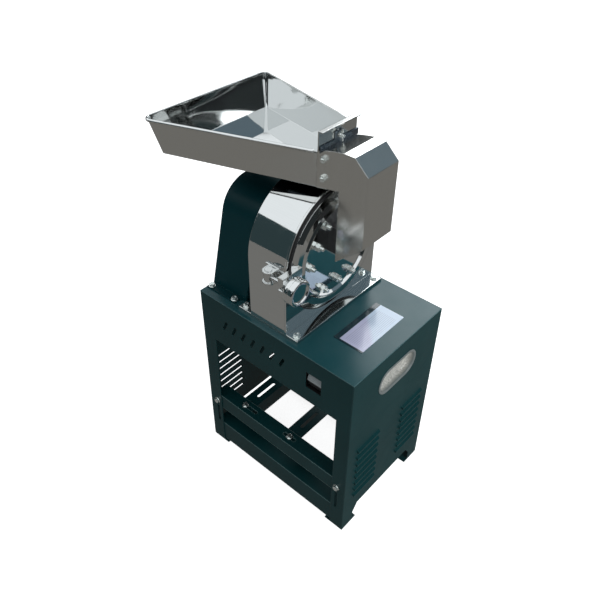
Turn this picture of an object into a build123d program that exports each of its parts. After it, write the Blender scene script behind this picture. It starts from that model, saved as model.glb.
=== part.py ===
"""Grain pulverizer: a belt-driven mill with a tray hopper, on a sheet-metal cabinet stand.

Millimetres. The pieces are laid out from the cabinet's front left bottom corner: x runs right along
the front, y towards the back, z up. The finished pieces are moved so that the origin is the middle
of the whole machine's box, on the floor.
"""
from build123d import *
import os
from math import acos, atan2, cos, radians, sin, sqrt

# Cabinet
cabinet_width = 488.0
table_margin = 12.5  # table beyond the mill housing, front and back, about the cabinet's middle
cabinet_height = 550.0
sheet = 2.0
leg_width = 42.0  # front and rear legs, beside the window
window_top = 409.0
side_leg = 43.0  # side panel legs
side_skirt = 60.0  # bottom edge of the side panels
gusset_run = 18.0
gusset_drop = 27.0
side_flange = 15.0  # inward fold at the side panels' upright edges
foot_size = 58.0
foot_thickness = 3.0
rail_bottom = 10.0  # bottom rails between the legs
rail_top = 77.0
front_rail_fold = 95.0  # top shelf, from the legs back
rear_rail_fold = 25.0
rail_lip = 15.0

# Louvres in the side panels
louvre_rows = 8
louvre_pitch = 25.2
louvre_first = 119.0
louvre_length = 88.0
louvre_inset = 37.0  # from the front and rear edges
louvre_height = 10.0
louvre_depth = 5.0
louvre_lip = 3.0
louvre_drop = 1.3  # of the lip, below its slot
louvre_wall = 1.2
louvre_roof_wall = 1.8

# Vent slots and switch in the front band
vent_count = 7
vent_first = 84.0
vent_pitch = 32.0
vent_height = 480.0
vent_length = 34.0
vent_width = 9.0
vent_tilt = 25.0
switch_right = 90.0  # cut-out's right side, from the cabinet's right side
switch_width = 47.0
switch_tall = 49.0
switch_height = 477.5
switch_flange = 7.0
switch_wall = 1.5
switch_depth = 30.0
rocker_gap = 2.0
rocker_tall = 40.0
rocker_front = 4.0
rocker_edge = 12.0
rocker_back = 19.0
rocker_pivot = 15.0
rocker_tilt = 8.0  # each way from level
rocker_pin = 2.5
rocker_pin_length = 1.2  # reach into the switch wall

# Grip cups in the side panels
grip_height = 464.0
grip_length = 136.0
grip_tall = 62.0
grip_rim = 7.0
grip_rim_thickness = 2.5
grip_wall = 1.5
grip_depth = 16.0

# Motor platform: two cross channels and two rails
platform_height = 190.0
channel_deep = 40.0
channel_tall = 48.0
channel_wall = 3.0
channel_end_gap = 1.0
leg_slot_inset = 27.0
leg_slot_width = 9.0
leg_slot_bottom = 78.0
leg_slot_top = 170.0
platform_bolt_height = 165.0
left_rail_x = 117.0
right_rail_x = 281.0
rail_wide = 46.0
rail_tall = 47.0
rail_wall = 3.0
left_rail_travel = 40.0  # to the right of its place
right_rail_travel = 32.0  # half of it each way from its place
rail_bolt_y = 23.0
motor_slot_width = 9.0
motor_slot_length = 70.0
motor_slot_spacing = 138.0

# Instruction plate on the table
plate_right = 50.0
plate_wide = 82.0
plate_long = 166.0
plate_thickness = 0.8
plate_round = 1.6

# Belt guard
guard_length = 118.0
guard_half = 133.0
guard_arc_rise = 5.5  # round top's centre, above the mill axis
guard_arc = 88.0
guard_wall = 2.0
guard_round = 4.0
guard_flange = 22.5
guard_flange_thickness = 3.0
guard_bolt_out = 146.5
guard_bolt_x = (12.0, 92.0)
belt_slot = (20.0, 100.0)
belt_slot_half = 100.0
guard_shaft_hole = 24.0

# Mill
mill_offset = 2.5  # mill axis behind the cabinet's middle
ring_clear = 1.5  # face ring's circle above the base plate
base_gap = 4.0  # from the guard
base_length = 190.0
base_thickness = 8.0
base_round = 2.0  # upper edges
base_bolt_inset = 14.0
pedestal_space = 42.0
housing_length = 110.0
housing_radius = 161.5
housing_wall = 4.0
face_ring_over = 1.5  # beyond the housing
face_ring_length = 5.0
face_ring_gap = 0.1
mouth_inset = 13.5  # from the housing's outside
gasket_inset = 1.5  # gasket beyond the mouth
gasket_wide = 7.5
gasket_length = 2.7
outlet_half = 70.0
outlet_inset = 14.0
spout_drop = 70.0
spout_wall = 2.0
spout_flange = 14.0
spout_flange_thickness = 3.0

# Chamber, rotor and shaft
screen_inset = 6.0  # screen inside the mouth
screen_wall = 1.5
screen_end_gap = 0.3
screen_slots = 9
screen_slot_rows = 4
screen_slot_wide = 5.0
ledge_tall = 6.0
liner_thickness = 12.2
liner_gap = 0.3
liner_teeth = 17
liner_tooth_depth = 4.0
liner_tooth_wide = 8.0
shaft_radius = 15.0
shaft_left = 30.0
shaft_thread_radius = 12.0
shaft_thread_length = 18.0
bearing_radius = 31.0
bearing_width = 16.0
pedestal_gap = 2.0
pedestal_foot_half = 70.0
pedestal_foot = 14.0
pedestal_column_half = 42.0
pedestal_head = 46.0
pedestal_bolt_half = 58.0
pulley_left = 42.0
pulley_length = 44.0
pulley_radius = 75.0
pulley_groove = 13.0
pulley_groove_depth = 11.0
pulley_hub = 26.0
key_wide = 8.0
key_tall = 7.0
key_length = 32.0
rotor_nut_flats = 36.0
hub_radius = 32.0
hub_length = 34.0
hub_gap = 4.0
rotor_disc_offset = 18.0
rotor_disc = 6.0
rotor_inset = 9.0  # disc inside the beater tips
beater_count = 6
beater_inner = 70.0
beater_gap = 3.5  # tips to the screen
beater_thick = 12.0
beater_length = 68.0

# Door, hinged at the back
door_gap = 0.3
door_overlap = 5.0  # door beyond the mouth
door_edge = 1.5
door_band = 13.0  # sloped band, from the edge in to the ridge
door_step = 8.0  # ridge and flat ring, above the back
door_flat = 16.0
door_rise = 12.0  # rim, above the back
door_rim_out = 6.0
door_rim = 2.0
door_rim_in = 6.0
door_plate = 6.0
door_liner_inset = 10.0  # liner inside the mouth
door_liner_thickness = 6.0
stud_radius = 5.0
stud_length = 19.0  # beyond the door's recessed face
stud_nut = 9.0
stud_nut_flats = 17.0
outer_stud_inset = 11.0  # from the recess's edge
outer_studs = 6
inner_stud_inset = 27.0
inner_studs = 3
inner_stud_turn = 30.0
hinge_clear = 14.0  # hinge pin behind the housing
hinge_forward = 8.0  # hinge pin in front of the door's back face
hinge_pin_radius = 5.0
hinge_knuckle = 9.0
hinge_low = -46.0  # knuckle stack, from the mill axis
hinge_high = 0.0
hinge_lug = 9.0
hinge_plate = 5.0
hinge_plate_length = 46.0
hinge_plate_inset = 2.0
strap_reach = 50.0
strap_thickness = 10.0
strap_half = 11.0

# Door clamp at the front
clamp_drop = 3.5  # below the mill axis
clamp_from_face = 33.0  # clevis pin behind the housing's right end
clamp_out = 15.0  # clevis pin in front of the housing
clevis_half = 14.0
clevis_thickness = 5.0
clevis_back = 4.0
clevis_back_half = 19.0
clevis_back_tall = 21.0
trunnion_radius = 11.0
trunnion_bore = 7.0
trunnion_journal = 6.0
trunnion_head = 8.5
trunnion_head_tall = 3.0
clamp_screw_radius = 5.0
clamp_engage = 9.0
fork_gap = 14.0
fork_bar = 19.0
fork_thick = 15.0
fork_front = 15.0  # in front of the clamp screw
fork_reach = 46.0  # behind the clamp screw
fork_bridge = (14.0, 28.0)
fork_bridge_thick = 5.0
clamp_washer_radius = 14.0
clamp_washer_thick = 2.6
knob_neck_radius = 13.0
knob_neck = 7.0
knob_radius = 31.0
knob_length = 27.0
knob_dish = 24.0
knob_dish_depth = 4.0
knob_round = 3.0
knob_bore_left = 8.0

# Feed chute and inlet neck
chute_half = 51.0
chute_wall = 1.5
chute_overhang = 12.0  # left end, behind the housing's right end
chute_right = 118.0  # right side, beyond the housing's right end
chute_back = 48.0  # upright back wall, beyond the housing's right end
chute_low = 5.5  # from the mill axis
chute_slope_top = 68.5  # from the mill axis
feed_rise = 8.0  # chute's underside above the housing; heights below are from this underside
chute_arm_high = 12.0
chute_left_top = 84.0
chute_shoulder = 100.0
chute_bevel_low = 68.0
chute_top_left = 56.0
chute_top_mid = 23.0
chute_top_mid_high = 93.8
chute_top_right = 83.0
neck_half = 34.5
neck_low = 12.5  # from the mill axis
neck_high = 77.5
neck_wall = 2.0
chute_bolt_x = 19.5  # from the chute's left end
chute_bolt_heights = (29.0, 71.5)

# Hopper tray
hopper_wall = 1.5
hopper_floor = 3.0  # floor's top
hopper_rim = 81.0
hopper_floor_length = 358.0
hopper_rim_length = 380.0
hopper_floor_half = 173.0
hopper_rim_half = 193.0
hopper_back_corner = (24.0, 107.0)  # corner by the chute: before its left end, behind the mill axis
hopper_bead = 4.0
hopper_bead_stop = 7.0
hopper_tab = 34.0
hopper_tab_low = 13.0
hopper_tab_high = 79.0

# Feed gate
gate_offset = 8.5  # from the chute's left end
gate_thickness = 2.0
gate_slot_gap = 0.8
gate_side_gap = 0.5  # blade to the hopper's tabs
gate_blade_low = 7.0
gate_shoulder = 88.0
gate_top = 129.0
gate_front_over = 9.0  # head beyond the chute's sides
gate_back_over = 12.5
gate_lip = 12.0
gate_travel = 60.0
guide_gap = 0.5
guide_thickness = 1.5
guide_top = 98.0
guide_foot = 83.5
guide_front_over = 5.5
guide_back_over = 16.5
guide_tab_half = 11.0
guide_tab_top = 115.0
gate_bolt_y = 1.5
gate_bolt_height = 105.0
gate_bolt_radius = 3.0
gate_bolt_head = 6.0
gate_bolt_head_thick = 3.0
gate_bolt_tail = 14.0
gate_slot_half = 3.5
gate_slot_above = 11.0
gate_slot_spare = 4.0
wing_hub = 6.0
wing_hub_length = 7.0
wing_reach = 12.5
wing_thick = 2.2
wing_start = 2.0
wing_length = 9.0

# Clearances and fasteners
slide_gap = 0.2  # flat sliding faces
run_gap = 0.05  # radial, shafts and pins in their bores
fit_gap = 0.02  # radial, pieces fixed on a shaft
side_gap = 0.3  # beside a turning or sliding piece
hole_gap = 0.6  # radial, bolts in plain holes
bolt_radius = 4.0
washer_radius = 9.0
washer_thickness = 1.6
head_flats = 13.0
head_height = 5.3
nut_height = 6.5
tail_length = 3.0

# Places worked out from the sizes above
table = cabinet_height
cabinet_depth = 2 * (housing_radius + table_margin)
mill_y = cabinet_depth / 2 + mill_offset
face_ring_radius = housing_radius + face_ring_over
axis_height = base_thickness + ring_clear + face_ring_radius
axis_z = table + axis_height
feed_z = axis_z + housing_radius + feed_rise
mouth_radius = housing_radius - mouth_inset
gasket_inner = mouth_radius + gasket_inset
gasket_radius = gasket_inner + gasket_wide
screen_radius = mouth_radius - screen_inset
liner_inner = housing_radius - housing_wall - liner_gap - liner_thickness
beater_tip = screen_radius - screen_wall - beater_gap
rotor_radius = beater_tip - rotor_inset
door_radius = mouth_radius + door_overlap
door_ridge = door_radius - door_band
door_rim_foot = door_ridge - door_flat
door_rim_outer = door_rim_foot - door_rim_out
door_rim_inner = door_rim_outer - door_rim
door_recess_radius = door_rim_inner - door_rim_in
door_liner_radius = mouth_radius - door_liner_inset
outer_stud_circle = door_recess_radius - outer_stud_inset
inner_stud_circle = door_recess_radius - inner_stud_inset
guard_arc_height = axis_height + guard_arc_rise
base_left = guard_length + base_gap
base_right = base_left + base_length
base_top = table + base_thickness
housing_left = base_left + pedestal_space
housing_right = housing_left + housing_length
chamber_left = housing_left + housing_wall
chamber_right = housing_right - housing_wall
ring_right = housing_right + face_ring_length
gasket_right = ring_right + gasket_length
door_back = gasket_right + door_gap
door_face = door_back + door_plate
hinge_x = door_back + hinge_forward
hinge_y = mill_y + housing_radius + hinge_clear
clamp_x = housing_right - clamp_from_face
clamp_y = mill_y - housing_radius - clamp_out
clamp_z = axis_z - clamp_drop
fork_right = door_back + fork_thick
chute_left = housing_right - chute_overhang
neck_right = housing_right + chute_back
gate_blade_half = chute_half - chute_wall - hopper_wall - gate_side_gap
gate_left = chute_left + gate_offset
gate_right = gate_left + gate_thickness
guide_left = gate_right + guide_gap
guide_right = guide_left + guide_thickness
rocker_x = cabinet_width - switch_right - switch_width / 2
channel_front = sheet + side_gap
channel_left = sheet + side_flange + channel_end_gap
rail_roof = platform_height - channel_wall - slide_gap
washer_left = fork_right + slide_gap
knob_left = washer_left + clamp_washer_thick
pedestal_left = base_left + pedestal_gap
pedestal_right = housing_left - pedestal_gap
hub_left = chamber_left + hub_gap
hub_right = hub_left + hub_length


def block(x0, x1, y0, y1, z0, z1):
    """Box between two corners."""
    return Pos((x0 + x1) / 2, (y0 + y1) / 2, (z0 + z1) / 2) * Box(x1 - x0, y1 - y0, z1 - z0)


def rod_x(x0, x1, y, z, radius):
    """Round bar along x."""
    return Pos((x0 + x1) / 2, y, z) * Rot(0, 90, 0) * Cylinder(radius, x1 - x0)


def rod_y(x, y0, y1, z, radius):
    """Round bar along y."""
    return Pos(x, (y0 + y1) / 2, z) * Rot(90, 0, 0) * Cylinder(radius, y1 - y0)


def rod_z(x, y, z0, z1, radius):
    """Round bar along z."""
    return Pos(x, y, (z0 + z1) / 2) * Cylinder(radius, z1 - z0)


def outline(points):
    """Flat face inside a closed polygon of local points."""
    return make_face(Polyline(*points, close=True))


def prism_x(face, x0, x1):
    """Face of (y, z) points carried from x0 to x1."""
    return extrude(Plane.YZ.offset(x0) * face, amount=x1 - x0, dir=(1, 0, 0))


def prism_y(face, y0, y1):
    """Face of (x, z) points carried from y0 to y1."""
    return extrude(Plane.XZ.offset(-y0) * face, amount=y1 - y0, dir=(0, 1, 0))


def prism_z(face, z0, z1):
    """Face of (x, y) points carried from z0 to z1."""
    return extrude(Plane.XY.offset(z0) * face, amount=z1 - z0, dir=(0, 0, 1))


def slot_face(length, width, turn=0.0):
    """Round-ended slot, end to end length, centred on the origin."""
    return Rot(0, 0, turn) * SlotOverall(length, width)


def bar_between(start, end, radius):
    """Round bar between two points."""
    run = Vector(*end) - Vector(*start)
    bar = Cylinder(radius, run.length, align=(Align.CENTER, Align.CENTER, Align.MIN))
    return Plane(origin=start, z_dir=run) * bar


def hexagon(flats, height):
    """Hexagon prism standing on the origin."""
    return extrude(RegularPolygon(flats / sqrt(3), 6), amount=height)


def bolt(grip):
    """Bolt, washer and nut: head above the origin, nut below the clamped thickness."""
    stand = Cylinder(washer_radius, washer_thickness, align=(Align.CENTER, Align.CENTER, Align.MIN))
    head = Pos(0, 0, washer_thickness) * hexagon(head_flats, head_height)
    nut = Pos(0, 0, -grip - nut_height) * hexagon(head_flats, nut_height)
    shank_low = -grip - nut_height - tail_length
    shank = Pos(0, 0, shank_low) * Cylinder(
        bolt_radius, -shank_low, align=(Align.CENTER, Align.CENTER, Align.MIN))
    return stand + head + nut + shank


def bolt_hole_z(x, y, z0, z1):
    """Clearance hole for an upright bolt."""
    return rod_z(x, y, z0, z1, bolt_radius + hole_gap)


def group(solids):
    """Separate solids that share one node."""
    return Compound([part.solid() for part in solids])


def front_and_rear(part):
    """A piece and its mirror image at the cabinet's back."""
    return part, mirror(part, about=Plane.XZ.offset(-cabinet_depth / 2))


# Cabinet
guard_bolts_at = [(x, mill_y + side * guard_bolt_out) for x in guard_bolt_x for side in (-1, 1)]
base_bolts_at = [
    (x, mill_y + side * (housing_radius - base_bolt_inset))
    for x in (base_left + base_bolt_inset, base_right - base_bolt_inset)
    for side in (-1, 1)
]
pedestal_bolts_at = [
    ((pedestal_left + pedestal_right) / 2, mill_y + side * pedestal_bolt_half) for side in (-1, 1)
]
outlet_box = (chamber_left + outlet_inset, chamber_right - outlet_inset,
              mill_y - outlet_half, mill_y + outlet_half)


def make_table_top():
    top = block(0, cabinet_width, 0, cabinet_depth, table - sheet, table)
    top -= block(*belt_slot, mill_y - belt_slot_half, mill_y + belt_slot_half, table - sheet, table)
    top -= block(*outlet_box, table - sheet, table)
    for x, y in guard_bolts_at + base_bolts_at + pedestal_bolts_at:
        top -= bolt_hole_z(x, y, table - sheet, table)
    return top


def make_left_side_panel():
    low = foot_thickness
    slope_low = side_skirt - gusset_drop
    near = side_leg
    far = cabinet_depth - side_leg
    wall_top = table - sheet
    panel = prism_x(outline([
        (0, low), (near, low), (near, slope_low), (near + gusset_run, side_skirt),
        (far - gusset_run, side_skirt), (far, slope_low), (far, low), (cabinet_depth, low),
        (cabinet_depth, wall_top), (0, wall_top),
    ]), 0, sheet)
    for y in (sheet, cabinet_depth - 2 * sheet):
        panel += block(sheet, sheet + side_flange, y, y + sheet, low, wall_top)
    hoods = []
    hollows = []
    for row in range(louvre_rows):
        z = louvre_first + row * louvre_pitch - louvre_height / 2
        for y in (louvre_inset, cabinet_depth - louvre_inset - louvre_length):
            roof = z + louvre_height
            hoods.append(prism_y(outline([
                (0, z - louvre_drop), (-louvre_depth, z - louvre_drop), (-louvre_depth, z + louvre_lip), (0, roof),
            ]), y, y + louvre_length))
            inner = -louvre_depth + louvre_wall
            inner_roof = roof - louvre_roof_wall
            under = z - louvre_drop - louvre_wall
            hollows.append(prism_y(outline([
                (2 * sheet, z), (0, z), (0, under), (inner, under),
                (inner, z + louvre_lip), (0, inner_roof), (2 * sheet, inner_roof),
            ]), y + louvre_wall, y + louvre_length - louvre_wall))
    panel = panel + hoods - hollows
    opening = slot_face(grip_length + 2 * grip_wall + 2 * side_gap, grip_tall + 2 * grip_wall + 2 * side_gap)
    return panel - prism_x(Pos(cabinet_depth / 2, grip_height) * opening, 0, sheet)


def make_left_grip_cup():
    place = Pos(cabinet_depth / 2, grip_height)
    rim = slot_face(grip_length + 2 * grip_rim, grip_tall + 2 * grip_rim)
    body = slot_face(grip_length + 2 * grip_wall, grip_tall + 2 * grip_wall)
    hollow = slot_face(grip_length, grip_tall)
    cup = prism_x(place * rim, -grip_rim_thickness, 0)
    cup = fillet(cup.faces().sort_by(Axis.X)[0].edges(), grip_rim_thickness / 2)
    cup += prism_x(place * body, 0, grip_depth + grip_wall)
    return cup - prism_x(place * hollow, -grip_rim_thickness, grip_depth)


def leg_panel(y0):
    """Inverted U of a band and two slotted legs."""
    low = foot_thickness
    right = cabinet_width - sheet
    inner_right = cabinet_width - leg_width
    panel = prism_y(outline([
        (sheet, low), (leg_width, low), (leg_width, window_top), (inner_right, window_top),
        (inner_right, low), (right, low), (right, table - sheet), (sheet, table - sheet),
    ]), y0, y0 + sheet)
    middle = (leg_slot_bottom + leg_slot_top) / 2
    upright = slot_face(leg_slot_top - leg_slot_bottom, leg_slot_width, 90)
    for x in (leg_slot_inset, cabinet_width - leg_slot_inset):
        panel -= prism_y(Pos(x, middle) * upright, y0, y0 + sheet)
    return panel


def make_front_panel():
    panel = leg_panel(0)
    panel -= block(rocker_x - switch_width / 2, rocker_x + switch_width / 2, 0, sheet,
                   switch_height - switch_tall / 2, switch_height + switch_tall / 2)
    vent = slot_face(vent_length, vent_width, 90 - vent_tilt)
    for index in range(vent_count):
        panel -= prism_y(Pos(vent_first + index * vent_pitch, vent_height) * vent, 0, sheet)
    return panel


def bottom_rail(fold):
    """Front rail between the legs, with its top folded back."""
    left = sheet + side_flange
    right = cabinet_width - left
    rail = block(left, right, sheet, 2 * sheet, rail_bottom, rail_top)
    rail += block(left, right, sheet, sheet + fold, rail_top - sheet, rail_top)
    return rail + block(left, right, sheet, sheet + rail_lip, rail_bottom, rail_bottom + sheet)


def make_foot_plates():
    xs = (0, cabinet_width - foot_size)
    ys = (0, cabinet_depth - foot_size)
    return group([block(x, x + foot_size, y, y + foot_size, 0, foot_thickness) for x in xs for y in ys])


def make_switch_housing():
    half_x = switch_width / 2
    half_z = switch_tall / 2
    flange = switch_flange
    wall = switch_wall
    back = sheet + switch_depth
    body = block(rocker_x - half_x - flange, rocker_x + half_x + flange, sheet, 2 * sheet,
                 switch_height - half_z - flange, switch_height + half_z + flange)
    body += block(rocker_x - half_x - wall, rocker_x + half_x + wall, sheet, back + wall,
                  switch_height - half_z - wall, switch_height + half_z + wall)
    body -= block(rocker_x - half_x, rocker_x + half_x, sheet, back,
                  switch_height - half_z, switch_height + half_z)
    reach = half_x + rocker_pin_length + side_gap
    return body - rod_x(rocker_x - reach, rocker_x + reach, rocker_pivot, switch_height, rocker_pin + run_gap)


def make_switch_rocker():
    half_x = switch_width / 2 - rocker_gap
    half_z = rocker_tall / 2
    rocker = prism_x(outline([
        (rocker_front, switch_height), (rocker_edge, switch_height + half_z),
        (rocker_back, switch_height + half_z - rocker_gap),
        (rocker_back, switch_height - half_z + rocker_gap),
        (rocker_edge, switch_height - half_z),
    ]), rocker_x - half_x, rocker_x + half_x)
    reach = switch_width / 2 + rocker_pin_length
    rocker += rod_x(rocker_x - reach, rocker_x + reach, rocker_pivot, switch_height, rocker_pin)
    pivot = Pos(rocker_x, rocker_pivot, switch_height)
    return pivot * Rot(-rocker_tilt, 0, 0) * pivot.inverse() * rocker


def make_instruction_plate():
    right = cabinet_width - plate_right
    y0 = cabinet_depth / 2 - plate_long / 2
    plate = block(right - plate_wide, right, y0, y0 + plate_long, table, table + plate_thickness)
    return fillet(plate.edges().filter_by(Axis.Z), plate_round)


# Motor platform
def make_front_channel():
    right = cabinet_width - channel_left
    front = channel_front
    channel = block(channel_left, right, front, front + channel_deep,
                    platform_height - channel_wall, platform_height)
    channel += block(channel_left, right, front, front + channel_wall,
                     platform_height - channel_tall, platform_height)
    hole = 2 * (bolt_radius + hole_gap)
    for middle, travel in ((left_rail_x + left_rail_travel / 2, left_rail_travel),
                           (right_rail_x, right_rail_travel)):
        channel -= prism_z(Pos(middle, rail_bolt_y) * slot_face(travel + hole, hole),
                           platform_height - channel_wall, platform_height)
    for x in (leg_slot_inset, cabinet_width - leg_slot_inset):
        channel -= rod_y(x, front, front + channel_wall, platform_bolt_height, bolt_radius + hole_gap)
    return channel


def make_platform_bolts():
    grip = channel_front + channel_wall + slide_gap
    front = [
        Pos(x, -slide_gap, platform_bolt_height) * Rot(90, 0, 0) * bolt(grip)
        for x in (leg_slot_inset, cabinet_width - leg_slot_inset)
    ]
    return group([part for one in front for part in front_and_rear(one)])


def make_rail(x, flange_side):
    """Angle under the channels, with two slots for a motor's feet."""
    front = channel_front + channel_wall + side_gap
    back = cabinet_depth - front
    left = x - rail_wide / 2
    right = x + rail_wide / 2
    rail = block(left, right, front, back, rail_roof - rail_wall, rail_roof)
    flange_left = right - rail_wall if flange_side > 0 else left
    rail += block(flange_left, flange_left + rail_wall, front, back, rail_roof - rail_tall, rail_roof)
    slot = slot_face(motor_slot_length, motor_slot_width, 90)
    for y in (-motor_slot_spacing / 2, motor_slot_spacing / 2):
        rail -= prism_z(Pos(x, cabinet_depth / 2 + y) * slot, rail_roof - rail_wall, rail_roof)
    for y in (rail_bolt_y, cabinet_depth - rail_bolt_y):
        rail -= bolt_hole_z(x, y, rail_roof - rail_wall, rail_roof)
    return rail


def make_rail_bolts(x):
    grip = platform_height + slide_gap - (rail_roof - rail_wall)
    front = Pos(x, rail_bolt_y, platform_height + slide_gap) * bolt(grip)
    return group(front_and_rear(front))


# Belt guard
def guard_face(inset, low):
    """Leaning walls that run into a round top; inset is the distance inside the outer surface."""
    half = guard_half - inset
    arc = guard_arc - inset
    rise = guard_arc_height
    reach = sqrt(half ** 2 + rise ** 2)
    angle = atan2(-rise, half) + acos(arc / reach)
    touch = (arc * cos(angle), table + rise + arc * sin(angle))
    lean = (half - touch[0]) / (touch[1] - table)
    foot = half + lean * (table - low)
    crown = (mill_y, table + rise + arc)
    wall_left = Line((mill_y - foot, low), (mill_y - touch[0], touch[1]))
    top = ThreePointArc((mill_y - touch[0], touch[1]), crown, (mill_y + touch[0], touch[1]))
    wall_right = Line((mill_y + touch[0], touch[1]), (mill_y + foot, low))
    floor = Line((mill_y + foot, low), (mill_y - foot, low))
    return make_face([wall_left, top, wall_right, floor])


def rounded_left(part, radius):
    """Rounds the edges of the left end face, apart from the one along the bottom."""
    edges = part.faces().sort_by(Axis.X)[0].edges().sort_by(Axis.Z)[1:]
    return fillet(edges, radius)


def make_belt_guard():
    guard = rounded_left(prism_x(guard_face(0, table), 0, guard_length), guard_round)
    hollow = prism_x(guard_face(guard_wall, table - guard_wall), guard_wall, guard_length - guard_wall)
    hollow = rounded_left(hollow, guard_round - guard_wall)
    flange_left = guard_bolt_x[0] - washer_radius - hole_gap
    flange_right = guard_bolt_x[1] + washer_radius + hole_gap
    flange_top = table + guard_flange_thickness
    out = guard_half + guard_flange
    for inner, outer in ((-guard_half + guard_wall, -out), (guard_half - guard_wall, out)):
        y0, y1 = sorted((mill_y + inner, mill_y + outer))
        guard += block(guard_round, flange_right, y0, y1, table, flange_top)
        y0, y1 = sorted((mill_y + outer, mill_y + outer / abs(outer) * (guard_half + side_gap)))
        guard += block(flange_left, flange_right, y0, y1, table, flange_top)
    guard -= hollow
    guard -= rod_x(guard_length - 2 * guard_wall, guard_length, mill_y, axis_z, guard_shaft_hole)
    for x, y in guard_bolts_at:
        guard -= bolt_hole_z(x, y, table, flange_top)
    return guard


def make_guard_bolts():
    seat = table + guard_flange_thickness
    return group([Pos(x, y, seat) * bolt(guard_flange_thickness + sheet) for x, y in guard_bolts_at])


# Mill
def make_mill_base_plate():
    half = housing_radius
    plate = block(base_left, base_right, mill_y - half, mill_y + half, table, base_top)
    plate = fillet(plate.faces().sort_by(Axis.Z)[-1].edges(), base_round)
    plate -= block(*outlet_box, table, base_top)
    for x, y in base_bolts_at + pedestal_bolts_at:
        plate -= bolt_hole_z(x, y, table, base_top)
    return plate


def make_base_bolts():
    return group([Pos(x, y, base_top) * bolt(base_thickness + sheet) for x, y in base_bolts_at])


def arch_face(inset, low):
    """Half-round top on straight sides."""
    radius = housing_radius - inset
    left = mill_y - radius
    right = mill_y + radius
    top = ThreePointArc((left, axis_z), (mill_y, axis_z + radius), (right, axis_z))
    side_right = Line((right, axis_z), (right, low))
    floor = Line((right, low), (left, low))
    side_left = Line((left, low), (left, axis_z))
    return make_face([top, side_right, floor, side_left])


def make_mill_housing():
    housing = prism_x(arch_face(0, base_top), housing_left, housing_right)
    hollow = prism_x(arch_face(housing_wall, base_top), chamber_left, housing_right)
    housing -= hollow
    inner = housing_radius - housing_wall
    for y0, y1 in ((-inner, -screen_radius), (screen_radius, inner)):
        housing += block(chamber_left, chamber_right - side_gap, mill_y + y0, mill_y + y1,
                         axis_z - ledge_tall, axis_z)
    return housing - rod_x(housing_left, chamber_left, mill_y, axis_z, shaft_radius + pedestal_gap)


def make_housing_face_ring():
    plate = prism_x(arch_face(housing_wall + face_ring_gap, base_top), chamber_right, housing_right)
    ring = plate + prism_x(arch_face(-face_ring_over, base_top), housing_right, ring_right)
    return ring - rod_x(chamber_right, ring_right, mill_y, axis_z, mouth_radius)


def make_door_gasket():
    ring = rod_x(ring_right, gasket_right, mill_y, axis_z, gasket_radius)
    return ring - rod_x(ring_right, gasket_right, mill_y, axis_z, gasket_inner)


def half_ring(x0, x1, outer, inner, above):
    """Upper or lower half of a tube about the mill axis."""
    tube = rod_x(x0, x1, mill_y, axis_z, outer) - rod_x(x0, x1, mill_y, axis_z, inner)
    z0, z1 = (axis_z, axis_z + outer) if above else (axis_z - outer, axis_z)
    return tube & block(x0, x1, mill_y - outer, mill_y + outer, z0, z1)


def make_chamber_liner():
    outer = housing_radius - housing_wall - liner_gap
    left = chamber_left + liner_gap
    right = chamber_right - liner_gap
    liner = half_ring(left, right, outer, liner_inner, True)
    for index in range(1, liner_teeth):
        groove = block(left, right, -liner_tooth_wide / 2, liner_tooth_wide / 2,
                       0, liner_inner + liner_tooth_depth)
        turn = 180.0 * index / liner_teeth - 90
        liner -= Pos(0, mill_y, axis_z) * Rot(turn, 0, 0) * groove
    return liner


def make_screen():
    left = chamber_left + screen_end_gap
    right = chamber_right - screen_end_gap
    screen = half_ring(left, right, screen_radius, screen_radius - screen_wall, False)
    step = (right - left) / (screen_slot_rows + 1)
    slot_half = (step - screen_slot_wide) / 2
    slots = []
    for index in range(1, screen_slots + 1):
        for row in range(1, screen_slot_rows + 1):
            x = left + row * step
            slot = block(x - slot_half, x + slot_half, -screen_slot_wide / 2, screen_slot_wide / 2,
                         screen_radius - 2 * screen_wall, screen_radius + screen_wall)
            turn = 180.0 * index / (screen_slots + 1) + 90
            slots.append(Pos(0, mill_y, axis_z) * Rot(turn, 0, 0) * slot)
    return screen - slots


def make_bearing_pedestal():
    foot_top = base_top + pedestal_foot
    pedestal = block(pedestal_left, pedestal_right, mill_y - pedestal_foot_half, mill_y + pedestal_foot_half,
                     base_top, foot_top)
    pedestal += block(pedestal_left, pedestal_right, mill_y - pedestal_column_half,
                      mill_y + pedestal_column_half, foot_top, axis_z)
    pedestal += rod_x(pedestal_left, pedestal_right, mill_y, axis_z, pedestal_head)
    pedestal -= rod_x(pedestal_left, pedestal_right, mill_y, axis_z, bearing_radius + run_gap)
    for x, y in pedestal_bolts_at:
        pedestal -= bolt_hole_z(x, y, base_top, foot_top)
    return pedestal


def make_pedestal_bolts():
    seat = base_top + pedestal_foot
    grip = pedestal_foot + base_thickness + sheet
    return group([Pos(x, y, seat) * bolt(grip) for x, y in pedestal_bolts_at])


def make_shaft_bearings():
    rings = []
    for left in (pedestal_left, pedestal_right - bearing_width):
        ring = rod_x(left, left + bearing_width, mill_y, axis_z, bearing_radius)
        rings.append(ring - rod_x(left, left + bearing_width, mill_y, axis_z, shaft_radius + run_gap))
    return group(rings)


def make_outlet_spout():
    x0, x1, y0, y1 = outlet_box
    roof = table - sheet
    flange = spout_flange
    wall = spout_wall
    low = roof - spout_drop
    spout = block(x0 - flange, x1 + flange, y0 - flange, y1 + flange, roof - spout_flange_thickness, roof)
    spout += block(x0 - wall, x1 + wall, y0 - wall, y1 + wall, low, roof)
    return spout - block(x0, x1, y0, y1, low, roof)


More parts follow.
